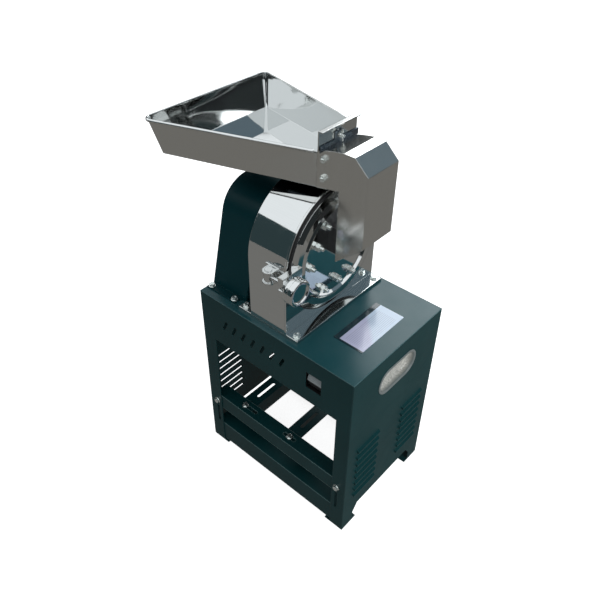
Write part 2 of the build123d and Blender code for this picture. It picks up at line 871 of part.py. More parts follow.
# Shaft and rotor
def key_box():
    middle = pulley_left + pulley_length / 2
    seat = axis_z + shaft_radius
    return block(middle - key_length / 2, middle + key_length / 2, mill_y - key_wide / 2,
                 mill_y + key_wide / 2, seat - key_tall / 2, seat + key_tall / 2)


def make_mill_shaft():
    shaft = rod_x(shaft_left, hub_right, mill_y, axis_z, shaft_radius)
    shaft += rod_x(hub_right, hub_right + shaft_thread_length, mill_y, axis_z, shaft_thread_radius)
    return shaft - key_box()


def make_mill_pulley():
    right = pulley_left + pulley_length
    pulley = rod_x(pulley_left, right, mill_y, axis_z, pulley_radius)
    bottom = pulley_radius - pulley_groove_depth
    for x in (pulley_left + pulley_length / 4, right - pulley_length / 4):
        groove = revolve(outline([
            (x - pulley_groove / 2, pulley_radius), (x - pulley_groove / 4, bottom),
            (x + pulley_groove / 4, bottom), (x + pulley_groove / 2, pulley_radius),
            (x + pulley_groove / 2, pulley_radius + side_gap),
            (x - pulley_groove / 2, pulley_radius + side_gap),
        ]), axis=Axis.X)
        pulley -= Pos(0, mill_y, axis_z) * groove
    web = rod_x(pulley_left, pulley_left + pulley_length / 4, mill_y, axis_z, bottom - pulley_groove / 2)
    web -= rod_x(pulley_left, pulley_left + pulley_length / 4, mill_y, axis_z, pulley_hub)
    pulley -= web
    return pulley - rod_x(pulley_left, right, mill_y, axis_z, shaft_radius + fit_gap) - key_box()


def make_rotor_disc():
    disc_left = hub_left + rotor_disc_offset
    disc = rod_x(hub_left, hub_right, mill_y, axis_z, hub_radius)
    disc += rod_x(disc_left, disc_left + rotor_disc, mill_y, axis_z, rotor_radius)
    return disc - rod_x(hub_left, hub_right, mill_y, axis_z, shaft_radius + fit_gap)


def make_beaters():
    left = hub_left + rotor_disc_offset + rotor_disc
    blade = block(left, left + beater_length, -beater_thick / 2, beater_thick / 2, beater_inner, beater_tip)
    place = Pos(0, mill_y, axis_z)
    return group([place * Rot(360.0 * index / beater_count, 0, 0) * blade for index in range(beater_count)])


def make_rotor_nut():
    nut = Rot(0, 90, 0) * hexagon(rotor_nut_flats, nut_height + tail_length)
    nut -= rod_x(0, nut_height + tail_length, 0, 0, shaft_thread_radius + fit_gap)
    return Pos(hub_right, mill_y, axis_z) * nut


# Door
def make_door_blank():
    """Turned door without its inlet: thin edge, sloped band, flat ring, raised rim, recessed face."""
    step = door_back + door_step
    rim = door_back + door_rise
    profile = outline([
        (door_back, 0), (door_back, door_radius), (door_back + door_edge, door_radius),
        (step, door_ridge), (step, door_rim_foot), (rim, door_rim_outer), (rim, door_rim_inner),
        (door_face, door_recess_radius), (door_face, 0),
    ])
    return Pos(0, mill_y, axis_z) * revolve(profile, axis=Axis.X)


def stud_places():
    outer = [(outer_stud_circle, 360.0 * index / outer_studs) for index in range(outer_studs)]
    inner = [
        (inner_stud_circle, inner_stud_turn + 360.0 * index / inner_studs) for index in range(inner_studs)
    ]
    return [
        (mill_y + radius * cos(radians(turn)), axis_z + radius * sin(radians(turn)))
        for radius, turn in outer + inner
    ]


def neck_bore(x0, x1):
    inner = neck_half - neck_wall
    return block(x0, x1, mill_y - inner, mill_y + inner, axis_z + neck_low + neck_wall,
                 axis_z + neck_high - neck_wall)


def neck_block(x0, x1):
    return block(x0, x1, mill_y - neck_half, mill_y + neck_half, axis_z + neck_low, axis_z + neck_high)


def drilled_for_studs(part, x0, x1):
    for y, z in stud_places():
        part -= rod_x(x0, x1, y, z, stud_radius + hole_gap)
    return part


def make_mill_door():
    door = make_door_blank() - neck_block(door_back, door_face)
    return drilled_for_studs(door, door_back, door_face)


def make_door_liner():
    left = door_back - door_liner_thickness
    liner = rod_x(left, door_back, mill_y, axis_z, door_liner_radius) - neck_bore(left, door_back)
    return drilled_for_studs(liner, left, door_back)


def make_door_studs():
    left = door_back - door_liner_thickness
    studs = []
    for y, z in stud_places():
        stud = rod_x(left, door_face + stud_length, y, z, stud_radius)
        stud += rod_x(door_face, door_face + washer_thickness, y, z, washer_radius + hole_gap)
        stud += Pos(door_face + washer_thickness, y, z) * Rot(0, 90, 0) * hexagon(stud_nut_flats, stud_nut)
        studs.append(stud)
    return group(studs)


def make_hinge_bracket():
    face = mill_y + housing_radius
    right = housing_right - hinge_plate_inset
    left = right - hinge_plate_length
    outer = face + hinge_plate
    bracket = block(left, right, face, outer, axis_z + hinge_low, axis_z + hinge_high)
    for z in (hinge_low, hinge_high - hinge_lug):
        low = axis_z + z
        bracket += block(left + hinge_lug, hinge_x, outer, hinge_y + hinge_knuckle, low, low + hinge_lug)
        bracket += rod_z(hinge_x, hinge_y, low, low + hinge_lug, hinge_knuckle)
    return bracket - rod_z(hinge_x, hinge_y, axis_z + hinge_low, axis_z + hinge_high,
                           hinge_pin_radius + fit_gap)


def make_hinge_pin():
    low = axis_z + hinge_low - washer_thickness
    high = axis_z + hinge_high
    pin = rod_z(hinge_x, hinge_y, low, high + washer_thickness, hinge_pin_radius)
    return pin + rod_z(hinge_x, hinge_y, high, high + 2 * washer_thickness, hinge_knuckle)


def make_door_hinge_strap():
    low = axis_z + hinge_low + hinge_lug + side_gap
    high = axis_z + hinge_high - hinge_lug - side_gap
    middle = (low + high) / 2
    strap = block(door_back, door_back + strap_thickness, hinge_y - strap_reach, hinge_y,
                  middle - strap_half, middle + strap_half)
    strap -= make_door_blank()
    strap = strap.solids().sort_by(Axis.Y)[-1] + rod_z(hinge_x, hinge_y, low, high, hinge_knuckle)
    return strap - rod_z(hinge_x, hinge_y, low, high, hinge_pin_radius + run_gap)


# Door clamp
def make_clamp_clevis():
    face = mill_y - housing_radius
    half = clevis_back_half
    clevis = block(clamp_x - half, clamp_x + half, face - clevis_back, face,
                   clamp_z - clevis_back_tall, clamp_z + clevis_back_tall)
    for side in (-1, 1):
        z = clamp_z + side * clevis_half
        low = z - clevis_thickness / 2
        clevis += block(clamp_x - clevis_half, clamp_x + clevis_half, clamp_y, face - clevis_back,
                        low, low + clevis_thickness)
        clevis += rod_z(clamp_x, clamp_y, low, low + clevis_thickness, clevis_half)
    return clevis - rod_z(clamp_x, clamp_y, clamp_z - clevis_back_tall, clamp_z + clevis_back_tall,
                          trunnion_journal + run_gap)


def make_clamp_trunnion():
    body_half = clevis_half - clevis_thickness / 2 - side_gap
    head_low = clevis_half + clevis_thickness / 2 + slide_gap
    head_high = head_low + trunnion_head_tall
    trunnion = rod_z(clamp_x, clamp_y, clamp_z - body_half, clamp_z + body_half, trunnion_radius)
    trunnion += rod_z(clamp_x, clamp_y, clamp_z - head_high, clamp_z + head_high, trunnion_journal)
    for side in (-1, 1):
        z0, z1 = sorted((clamp_z + side * head_low, clamp_z + side * head_high))
        trunnion += rod_z(clamp_x, clamp_y, z0, z1, trunnion_head)
    return trunnion - rod_x(clamp_x - trunnion_radius, clamp_x + trunnion_radius, clamp_y, clamp_z,
                            trunnion_bore)


def make_clamp_fork():
    front = clamp_y - fork_front
    back = clamp_y + fork_reach
    near = fork_gap / 2
    far = near + fork_bar
    fork = block(door_back, fork_right, front, back, clamp_z + near, clamp_z + far)
    fork += block(door_back, fork_right, front, back, clamp_z - far, clamp_z - near)
    fork += block(door_back, door_back + fork_bridge_thick, clamp_y + fork_bridge[0],
                  clamp_y + fork_bridge[1], clamp_z - far, clamp_z + far)
    fork -= make_door_blank()
    return fork.solids().sort_by(SortBy.VOLUME)[-1]


def make_clamp_washer():
    washer = rod_x(washer_left, knob_left, clamp_y, clamp_z, clamp_washer_radius)
    return washer - rod_x(washer_left, knob_left, clamp_y, clamp_z, clamp_screw_radius + run_gap)


def make_clamp_knob():
    body_left = knob_left + knob_neck
    right = body_left + knob_length
    body = rod_x(body_left, right, clamp_y, clamp_z, knob_radius)
    body = fillet(body.edges().filter_by(GeomType.CIRCLE), knob_round)
    knob = body + rod_x(knob_left, body_left, clamp_y, clamp_z, knob_neck_radius)
    knob -= rod_x(right - knob_dish_depth, right, clamp_y, clamp_z, knob_dish)
    return knob - rod_x(knob_left, right - knob_bore_left, clamp_y, clamp_z, clamp_screw_radius + fit_gap)


def make_clamp_screw():
    tip = clamp_x + trunnion_radius - clamp_engage
    right = knob_left + knob_neck + knob_length - knob_bore_left
    return rod_x(tip, right, clamp_y, clamp_z, clamp_screw_radius)


# Feed chute
def chute_face():
    left = chute_left
    top_left = (left, feed_z + chute_left_top)
    top_mid = (housing_right + chute_top_mid, feed_z + chute_top_mid_high)
    shoulder = (housing_right + chute_top_left, feed_z + chute_shoulder)
    points = [
        shoulder, (housing_right + chute_top_right, feed_z + chute_shoulder),
        (housing_right + chute_right, feed_z + chute_bevel_low),
        (housing_right + chute_right, axis_z + chute_slope_top), (neck_right, axis_z + chute_low),
        (neck_right, feed_z + chute_arm_high), (left, feed_z), top_left,
    ]
    return make_face([ThreePointArc(top_left, top_mid, shoulder), Polyline(*points)])


def chute_bolts_at():
    return [(chute_left + chute_bolt_x, feed_z + height) for height in chute_bolt_heights]


def make_feed_chute():
    inner = chute_half - chute_wall
    chute = prism_y(chute_face(), mill_y - chute_half, mill_y + chute_half)
    chute -= prism_y(offset(chute_face(), -chute_wall), mill_y - inner, mill_y + inner)
    chute -= block(chute_left, chute_left + 2 * chute_wall, mill_y - inner, mill_y + inner,
                   feed_z + hopper_floor, feed_z + chute_left_top - chute_wall)
    chute -= neck_bore(neck_right - chute_wall, neck_right + 2 * chute_wall)
    chute -= block(gate_left - gate_slot_gap, gate_right + gate_slot_gap, mill_y - inner, mill_y + inner,
                   feed_z + hopper_rim, feed_z + gate_shoulder)
    for x, z in chute_bolts_at():
        chute -= rod_y(x, mill_y - chute_half, mill_y + chute_half, z, bolt_radius + hole_gap)
    return chute


def make_chute_bolts():
    grip = chute_wall + hopper_wall
    inner = chute_half - grip
    bolts = []
    for x, z in chute_bolts_at():
        bolts.append(Pos(x, mill_y - inner, z) * Rot(-90, 0, 0) * bolt(grip))
        bolts.append(Pos(x, mill_y + inner, z) * Rot(90, 0, 0) * bolt(grip))
    return group(bolts)


def make_inlet_neck():
    return neck_block(door_back, neck_right) - neck_bore(door_back, neck_right)


# Hopper
def drawn_in(corners, inset):
    """Corners of an anticlockwise polygon with each side moved inwards by inset."""
    moved = []
    for index, corner in enumerate(corners):
        here = Vector(*corner)
        arriving = (here - Vector(*corners[index - 1])).normalized()
        leaving = (Vector(*corners[(index + 1) % len(corners)]) - here).normalized()
        inward = Vector(-arriving.Y - leaving.Y, arriving.X + leaving.X)
        place = here + inward * (inset / (1 + arriving.dot(leaving)))
        moved.append((place.X, place.Y))
    return moved


def tray_points(length, half, inset):
    """Five corners of the tray seen from above: left front, mouth front and back, corner, left back."""
    return drawn_in([
        (chute_left - length, mill_y - half), (chute_left, mill_y - chute_half),
        (chute_left, mill_y + chute_half),
        (chute_left - hopper_back_corner[0], mill_y + hopper_back_corner[1]),
        (chute_left - length, mill_y + half),
    ], inset)


def tray_solid(low, high, inset):
    part = (high - low) / (feed_z + hopper_rim - low)
    length = hopper_floor_length + (hopper_rim_length - hopper_floor_length) * part
    half = hopper_floor_half + (hopper_rim_half - hopper_floor_half) * part
    floor = Plane.XY.offset(low) * outline(tray_points(hopper_floor_length, hopper_floor_half, inset))
    rim = Plane.XY.offset(high) * outline(tray_points(length, half, inset))
    return loft([floor, rim], ruled=True)


def make_hopper_pan():
    floor_top = feed_z + hopper_floor
    rim = feed_z + hopper_rim
    inner = chute_half - chute_wall
    pan = tray_solid(floor_top - hopper_wall, rim, 0)
    corners = tray_points(hopper_rim_length, hopper_rim_half, 0)
    left_front, mouth_front, mouth_back, back_corner, left_back = [(x, y, rim) for x, y in corners]
    run = Vector(*left_front) - Vector(*mouth_front)
    start = Vector(*mouth_front) + run.normalized() * hopper_bead_stop
    pan += bar_between(tuple(start), left_front, hopper_bead)
    pan += bar_between(left_front, left_back, hopper_bead)
    pan += bar_between(left_back, back_corner, hopper_bead)
    for corner in (left_front, left_back, back_corner):
        pan += Pos(*corner) * Sphere(hopper_bead)
    pan -= tray_solid(floor_top, rim + 2 * hopper_bead, hopper_wall)
    pan -= block(chute_left - 2 * hopper_wall, chute_left + hopper_wall, mill_y - inner + hopper_wall,
                 mill_y + inner - hopper_wall, floor_top, rim + 2 * hopper_bead)
    low = feed_z + hopper_tab_low
    high = feed_z + hopper_tab_high
    tab_right = chute_left + hopper_tab
    for side in (-1, 1):
        y0, y1 = sorted((mill_y + side * (inner - hopper_wall), mill_y + side * inner))
        pan += block(chute_left - hopper_wall, tab_right, y0, y1, low, high)
    for x, z in chute_bolts_at():
        pan -= rod_y(x, mill_y - inner, mill_y + inner, z, bolt_radius + hole_gap)
    return pan


# Feed gate
def make_feed_gate():
    front = mill_y - chute_half - gate_front_over
    back = mill_y + chute_half + gate_back_over
    gate = block(gate_left, gate_right, mill_y - gate_blade_half, mill_y + gate_blade_half,
                 feed_z + gate_blade_low, feed_z + gate_shoulder)
    gate += block(gate_left, gate_right, front, back, feed_z + gate_shoulder, feed_z + gate_top)
    gate += block(gate_left, gate_left + gate_lip, front, back,
                  feed_z + gate_top, feed_z + gate_top + gate_thickness)
    slot_low = feed_z + gate_bolt_height - gate_travel - gate_slot_spare - gate_slot_half
    slot_high = feed_z + gate_bolt_height + gate_slot_above
    slot = slot_face(slot_high - slot_low, 2 * gate_slot_half, 90)
    return gate - prism_x(Pos(mill_y + gate_bolt_y, (slot_low + slot_high) / 2) * slot, gate_left, gate_right)


def make_gate_guide():
    bolt_y = mill_y + gate_bolt_y
    guide = block(guide_left, guide_right, mill_y - chute_half - guide_front_over,
                  mill_y + chute_half + guide_back_over,
                  feed_z + guide_foot, feed_z + guide_top)
    guide += block(guide_left, guide_right, bolt_y - guide_tab_half, bolt_y + guide_tab_half,
                   feed_z + guide_top, feed_z + guide_tab_top)
    guide -= prism_y(chute_face(), mill_y - chute_half, mill_y + chute_half)
    guide = guide.solids().sort_by(SortBy.VOLUME)[-1]
    return guide - rod_x(guide_left, guide_right, bolt_y, feed_z + gate_bolt_height,
                         gate_bolt_radius + fit_gap)


def make_gate_bolt():
    y = mill_y + gate_bolt_y
    z = feed_z + gate_bolt_height
    head_right = gate_left - guide_gap
    head = rod_x(head_right - gate_bolt_head_thick, head_right, y, z, gate_bolt_head)
    return head + rod_x(head_right, guide_right + gate_bolt_tail, y, z, gate_bolt_radius)


def make_gate_wing_nut():
    y = mill_y + gate_bolt_y
    z = feed_z + gate_bolt_height
    left = guide_right + side_gap
    nut = rod_x(left, left + wing_hub_length, y, z, wing_hub)
    wings = prism_y(outline([
        (left + wing_start, z - wing_hub), (left + wing_start + wing_length, z - wing_reach),
        (left + wing_length, z - wing_hub / 2), (left + wing_length, z + wing_hub / 2),
        (left + wing_start + wing_length, z + wing_reach), (left + wing_start, z + wing_hub),
    ]), y - wing_thick / 2, y + wing_thick / 2)
    return nut + wings - rod_x(left, left + 2 * wing_length, y, z, gate_bolt_radius + run_gap)


front_channel, rear_channel = front_and_rear(make_front_channel())
left_side_panel = make_left_side_panel()
left_grip_cup = make_left_grip_cup()
cabinet_middle = Plane.YZ.offset(cabinet_width / 2)

pieces = {
    "table_top": make_table_top(),
    "left_side_panel": left_side_panel,
    "right_side_panel": mirror(left_side_panel, about=cabinet_middle),
    "front_panel": make_front_panel(),
    "rear_panel": leg_panel(cabinet_depth - sheet),
    "front_bottom_rail": bottom_rail(front_rail_fold),
    "rear_bottom_rail": front_and_rear(bottom_rail(rear_rail_fold))[1],
    "foot_plates": make_foot_plates(),
    "left_grip_cup": left_grip_cup,
    "right_grip_cup": mirror(left_grip_cup, about=cabinet_middle),
    "switch_housing": make_switch_housing(),
    "switch_rocker": make_switch_rocker(),
    "instruction_plate": make_instruction_plate(),
    "front_channel": front_channel,
    "rear_channel": rear_channel,
    "platform_bolts": make_platform_bolts(),
    "left_rail": make_rail(left_rail_x, 1),
    "left_rail_bolts": make_rail_bolts(left_rail_x),
    "right_rail": make_rail(right_rail_x, -1),
    "right_rail_bolts": make_rail_bolts(right_rail_x),
    "belt_guard": make_belt_guard(),
    "guard_bolts": make_guard_bolts(),
    "mill_base_plate": make_mill_base_plate(),
    "base_bolts": make_base_bolts(),
    "mill_housing": make_mill_housing(),
    "housing_face_ring": make_housing_face_ring(),
    "door_gasket": make_door_gasket(),
    "chamber_liner": make_chamber_liner(),
    "screen": make_screen(),
    "bearing_pedestal": make_bearing_pedestal(),
    "pedestal_bolts": make_pedestal_bolts(),
    "shaft_bearings": make_shaft_bearings(),
    "outlet_spout": make_outlet_spout(),
    "mill_shaft": make_mill_shaft(),
    "mill_pulley": make_mill_pulley(),
    "shaft_key": key_box(),
    "rotor_disc": make_rotor_disc(),
    "beaters": make_beaters(),
    "rotor_nut": make_rotor_nut(),
    "mill_door": make_mill_door(),
    "door_liner": make_door_liner(),
    "door_studs": make_door_studs(),
    "hinge_bracket": make_hinge_bracket(),
    "hinge_pin": make_hinge_pin(),
    "door_hinge_strap": make_door_hinge_strap(),
    "clamp_clevis": make_clamp_clevis(),
    "clamp_trunnion": make_clamp_trunnion(),
    "clamp_fork": make_clamp_fork(),
    "clamp_washer": make_clamp_washer(),
    "clamp_knob": make_clamp_knob(),
    "clamp_screw": make_clamp_screw(),
    "feed_chute": make_feed_chute(),
    "chute_bolts": make_chute_bolts(),
    "inlet_neck": make_inlet_neck(),
    "hopper_pan": make_hopper_pan(),
    "feed_gate": make_feed_gate(),
    "gate_guide": make_gate_guide(),
    "gate_bolt": make_gate_bolt(),
    "gate_wing_nut": make_gate_wing_nut(),
}

# The origin is the middle of the machine's box, on the floor
boxes = [piece.bounding_box() for piece in pieces.values()]
origin_x = (min(box.min.X for box in boxes) + max(box.max.X for box in boxes)) / 2
origin_y = (min(box.min.Y for box in boxes) + max(box.max.Y for box in boxes)) / 2
to_origin = Pos(-origin_x, -origin_y, 0)

os.makedirs("parts", exist_ok=True)
for node, piece in pieces.items():
    export_step(to_origin * piece, f"parts/{node}.step")
print(f"{len(pieces)} nodes, cabinet corner at x {-origin_x:.2f}, y {-origin_y:.2f}")
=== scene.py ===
import bpy
import numpy as np
from mathutils import Matrix, Vector


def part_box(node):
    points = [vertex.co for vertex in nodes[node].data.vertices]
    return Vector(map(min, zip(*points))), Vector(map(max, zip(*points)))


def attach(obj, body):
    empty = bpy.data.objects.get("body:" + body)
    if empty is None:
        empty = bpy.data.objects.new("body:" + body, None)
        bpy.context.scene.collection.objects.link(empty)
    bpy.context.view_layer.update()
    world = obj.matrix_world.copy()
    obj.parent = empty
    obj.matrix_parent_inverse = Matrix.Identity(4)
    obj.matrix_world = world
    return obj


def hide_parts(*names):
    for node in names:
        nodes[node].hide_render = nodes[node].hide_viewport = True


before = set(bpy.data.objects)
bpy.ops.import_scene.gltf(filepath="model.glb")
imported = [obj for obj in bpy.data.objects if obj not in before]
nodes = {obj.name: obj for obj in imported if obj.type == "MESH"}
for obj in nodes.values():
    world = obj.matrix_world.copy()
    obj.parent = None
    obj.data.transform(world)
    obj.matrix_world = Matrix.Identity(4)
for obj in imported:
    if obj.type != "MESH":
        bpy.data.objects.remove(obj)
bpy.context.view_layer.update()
scene = bpy.context.scene
print("frame loaded:", len(nodes), "nodes")


# small helpers for node trees: an input is given a socket, which is linked, or a plain value
def fill(tree, node, inputs):
    for key, value in inputs.items():
        if isinstance(value, bpy.types.NodeSocket):
            tree.links.new(value, node.inputs[key])
        else:
            node.inputs[key].default_value = value


def put(tree, kind, inputs=None, **settings):
    node = tree.nodes.new(kind)
    for key, value in settings.items():
        setattr(node, key, value)
    fill(tree, node, inputs or {})
    return node


def startGroup(name, inputs, outputs):
    tree = bpy.data.node_groups.new(name, "ShaderNodeTree")
    for label, kind in inputs:
        tree.interface.new_socket(name=label, in_out="INPUT", socket_type="NodeSocket" + kind)
    for label, kind in outputs:
        tree.interface.new_socket(name=label, in_out="OUTPUT", socket_type="NodeSocket" + kind)
    return tree, tree.nodes.new("NodeGroupInput").outputs, tree.nodes.new("NodeGroupOutput")


def useGroup(tree, group, inputs):
    return put(tree, "ShaderNodeGroup", inputs, node_tree=group).outputs


fullSpan = (0.0, 1.0)
noiseSpan = (0.3, 0.7)  # a noise texture mostly stays between these


def remap(tree, value, span, outSpan=fullSpan):
    return put(tree, "ShaderNodeMapRange", {
        "Value": value, "From Min": span[0], "From Max": span[1], "To Min": outSpan[0], "To Max": outSpan[1],
    }).outputs["Result"]


def sums(tree, operation, *values):
    return put(tree, "ShaderNodeMath", dict(enumerate(values)), operation=operation).outputs["Value"]


def noise(tree, vector, scale, detail, **more):
    inputs = {"Vector": vector, "Scale": scale, "Detail": detail, **more}
    return put(tree, "ShaderNodeTexNoise", inputs).outputs["Fac"]


def along(tree, vector, axis):
    return put(tree, "ShaderNodeSeparateXYZ", {"Vector": vector}).outputs[axis]


def opaque(shade):
    return shade if isinstance(shade, bpy.types.NodeSocket) else (*shade, 1.0)


def mixColour(tree, factor, first, second):
    inputs = {0: factor, 6: opaque(first), 7: opaque(second)}
    return put(tree, "ShaderNodeMix", inputs, data_type="RGBA").outputs[2]


def bumped(tree, height, strength, depth, normal):
    inputs = {"Height": height, "Strength": strength, "Distance": depth, "Normal": normal}
    return put(tree, "ShaderNodeBump", inputs).outputs["Normal"]


# surface effects that the finishes share
effects = {"bevelSamples": 6, "edgeTurn": (0.99, 0.85),  # cosines of the normal's turn, flat and round
           "peelDetail": 2.0, "mottleScale": 7.0, "mottleDetail": 4.0, "streakDetail": 5.0,
           "streakRoughness": 0.65, "smudgeDetail": 5.0, "smudgeRoughness": 0.6, "smudgeDistortion": 0.6,
           "smudgeSpan": (0.42, 0.72)}


# normal bent round the edges, and a mask that is 1 on a round edge, 0 on the flat
def makeEdgeRounding():
    tree, given, result = startGroup("edgeRounding", [("Radius", "Float")],
                                     [("Normal", "Vector"), ("Edge", "Float")])
    bevel = put(tree, "ShaderNodeBevel", {"Radius": given["Radius"]}, samples=effects["bevelSamples"])
    bent = bevel.outputs["Normal"]
    flat = put(tree, "ShaderNodeNewGeometry").outputs["Normal"]
    turn = put(tree, "ShaderNodeVectorMath", {0: bent, 1: flat}, operation="DOT_PRODUCT").outputs["Value"]
    fill(tree, result, {"Normal": bent, "Edge": remap(tree, turn, effects["edgeTurn"])})
    return tree


def makePowderGrain():
    tree, given, result = startGroup("powderGrain", [("Vector", "Vector"), ("Peel", "Float")],
                                     [("Height", "Float"), ("Mottle", "Float")])
    peel = noise(tree, given["Vector"], given["Peel"], effects["peelDetail"])
    mottle = noise(tree, given["Vector"], effects["mottleScale"], effects["mottleDetail"])
    fill(tree, result, {"Height": peel, "Mottle": mottle})
    return tree


def makeBrushedGrain():
    tree, given, result = startGroup("brushedGrain", [("Vector", "Vector"), ("Stretch", "Vector")],
                                     [("Streak", "Float")])
    drawn = put(tree, "ShaderNodeVectorMath", {0: given["Vector"], 1: given["Stretch"]}, operation="MULTIPLY")
    streak = noise(tree, drawn.outputs["Vector"], 1.0, effects["streakDetail"],
                   Roughness=effects["streakRoughness"])
    fill(tree, result, {"Streak": streak})
    return tree


def makeHandSmudge():
    tree, given, result = startGroup("handSmudge", [("Vector", "Vector"), ("Scale", "Float")],
                                     [("Mask", "Float")])
    cloud = noise(tree, given["Vector"], given["Scale"], effects["smudgeDetail"],
                  Roughness=effects["smudgeRoughness"], Distortion=effects["smudgeDistortion"])
    fill(tree, result, {"Mask": remap(tree, cloud, effects["smudgeSpan"])})
    return tree


edgeRounding = makeEdgeRounding()
powderGrain = makePowderGrain()
brushedGrain = makeBrushedGrain()
handSmudge = makeHandSmudge()


def startMaterial(name):
    material = bpy.data.materials.new(name)
    material.use_nodes = True
    tree = material.node_tree
    tree.nodes.clear()
    shader = put(tree, "ShaderNodeBsdfPrincipled")
    put(tree, "ShaderNodeOutputMaterial", {"Surface": shader.outputs["BSDF"]})
    return material, tree, shader


def objectPlace(tree):
    return put(tree, "ShaderNodeTexCoord").outputs["Object"]


# powder coat: orange peel, faint mottling, a painted highlight along the rounded edges, hand smudges
def powderCoat(name, look):
    material, tree, shader = startMaterial(name)
    place = objectPlace(tree)
    grain = useGroup(tree, powderGrain, {"Vector": place, "Peel": look["peelScale"]})
    edge = useGroup(tree, edgeRounding, {"Radius": look["edgeRadius"]})
    smudge = useGroup(tree, handSmudge, {"Vector": place, "Scale": look["smudgeScale"]})
    mottled = mixColour(tree, grain["Mottle"], look["deep"], look["pale"])
    # the edge colour mixed in over the rounded edges is a painted highlight
    highlighted = remap(tree, edge["Edge"], fullSpan, (0.0, look["edgeHighlight"]))
    roughSpan = (look["roughness"], look["roughness"] + look["smudge"])
    fill(tree, shader, {
        "Base Color": mixColour(tree, highlighted, mottled, look["edge"]),
        "Roughness": remap(tree, smudge["Mask"], fullSpan, roughSpan),
        "Specular IOR Level": look["gloss"],
        "Normal": bumped(tree, grain["Height"], look["peel"], look["peelDepth"], edge["Normal"]),
    })
    return material


# edge is the colour of a painted highlight along the rounded edges; the rails and the table get it stronger
# along their folds
cabinetLook = {"deep": (0.0020, 0.0270, 0.0300), "pale": (0.0038, 0.0390, 0.0425), "edge": (0.10, 0.18, 0.18),
               "edgeHighlight": 0.22, "edgeRadius": 0.0016, "roughness": 0.34, "gloss": 0.18, "peelScale": 520.0,
               "peel": 0.12, "peelDepth": 0.0004, "smudgeScale": 11.0, "smudge": 0.07}
railLook = {**cabinetLook, "edge": (0.20, 0.32, 0.32), "edgeHighlight": 0.9, "edgeRadius": 0.0030}
# table top: the cabinet's coat painted lighter and bluer, a painted sheen of the sky on its up-facing top
tableSheenLook = {**cabinetLook, "deep": (0.0105, 0.0680, 0.0810), "pale": (0.0140, 0.0830, 0.0970),
             "roughness": 0.28, "gloss": 0.32, "edge": (0.12, 0.22, 0.23), "edgeHighlight": 0.8,
             "edgeRadius": 0.0026}
guardLook = {**cabinetLook, "deep": (0.0018, 0.0310, 0.0380), "pale": (0.0030, 0.0420, 0.0500),
             "roughness": 0.30, "gloss": 0.11, "edge": (0.04, 0.10, 0.10)}
cabinetGreen = powderCoat("cabinetGreen", cabinetLook)
railGreen = powderCoat("railGreen", railLook)
tableSheenGreen = powderCoat("tableSheenGreen", tableSheenLook)
guardGreen = powderCoat("guardGreen", guardLook)


# stainless sheet: streaks from the mill finish, gentle waves, hand smudges
def sheetSteel(name, look):
    material, tree, shader = startMaterial(name)
    place = objectPlace(tree)
    edge = useGroup(tree, edgeRounding, {"Radius": look["edgeRadius"]})
    streak = useGroup(tree, brushedGrain, {"Vector": place, "Stretch": look["stretch"]})["Streak"]
    smudge = useGroup(tree, handSmudge, {"Vector": place, "Scale": look["smudgeScale"]})["Mask"]
    wave = noise(tree, place, look["waveScale"], look["waveDetail"])
    streaked = remap(tree, streak, noiseSpan, (look["roughness"], look["roughness"] + look["streak"]))
    wavy = bumped(tree, wave, 1.0, look["wave"], edge["Normal"])
    fill(tree, shader, {
        "Base Color": mixColour(tree, streak, look["deep"], look["pale"]),
        "Metallic": look["metal"],
        "Roughness": sums(tree, "MULTIPLY_ADD", smudge, look["smudge"], streaked),
        "Normal": bumped(tree, streak, look["scratch"], look["scratchDepth"], wavy),
    })
    return material


mirrorLook = {"deep": (0.72, 0.735, 0.735), "pale": (0.82, 0.835, 0.835), "stretch": (12.0, 700.0, 700.0),
              "roughness": 0.035, "streak": 0.02, "smudge": 0.05, "smudgeScale": 16.0, "scratch": 0.04,
              "scratchDepth": 0.0001, "wave": 0.0006, "waveScale": 9.0, "waveDetail": 1.0,
              "edgeRadius": 0.0012, "metal": 1.0}
satinLook = {"deep": (0.66, 0.655, 0.63), "pale": (0.80, 0.795, 0.77), "stretch": (10.0, 900.0, 900.0),
             "roughness": 0.15, "streak": 0.05, "smudge": 0.06, "smudgeScale": 14.0, "scratch": 0.06,
             "scratchDepth": 0.0001, "wave": 0.0004, "waveScale": 7.0, "waveDetail": 1.0,
             "edgeRadius": 0.0022, "metal": 1.0}
housingMirror = sheetSteel("housingMirror", mirrorLook)
doorMirror = sheetSteel("doorMirror", {**mirrorLook, "stretch": (300.0, 40.0, 40.0), "wave": 0.0003})
chuteSatin = sheetSteel("chuteSatin", {**satinLook, "stretch": (900.0, 900.0, 9.0)})
gateSatin = sheetSteel("gateSatin", {**satinLook, "deep": (0.56, 0.57, 0.56), "pale": (0.68, 0.69, 0.68),
                                     "stretch": (900.0, 14.0, 900.0), "roughness": 0.10})
# gate guide: the satin steel painted dark, a painted shade for its face, which stands in shadow
guideShadedSatin = sheetSteel("guideShadedSatin", {**satinLook, "deep": (0.13, 0.16, 0.19), "pale": (0.19, 0.22, 0.26),
                                       "stretch": (900.0, 14.0, 900.0), "roughness": 0.24})
baseSatin = sheetSteel("baseSatin", {**mirrorLook, "deep": (0.60, 0.63, 0.62), "pale": (0.72, 0.75, 0.74),
                                     "roughness": 0.09, "stretch": (900.0, 10.0, 900.0)})
turnedSteel = sheetSteel("turnedSteel", {**mirrorLook, "stretch": (900.0, 30.0, 30.0), "roughness": 0.12})
zincPlate = sheetSteel("zincPlate", {**mirrorLook, "deep": (0.80, 0.85, 0.83), "pale": (0.93, 0.97, 0.95),
                                     "stretch": (260.0, 260.0, 260.0), "roughness": 0.13, "smudge": 0.10,
                                     "smudgeScale": 60.0, "edgeRadius": 0.0006, "metal": 0.92})
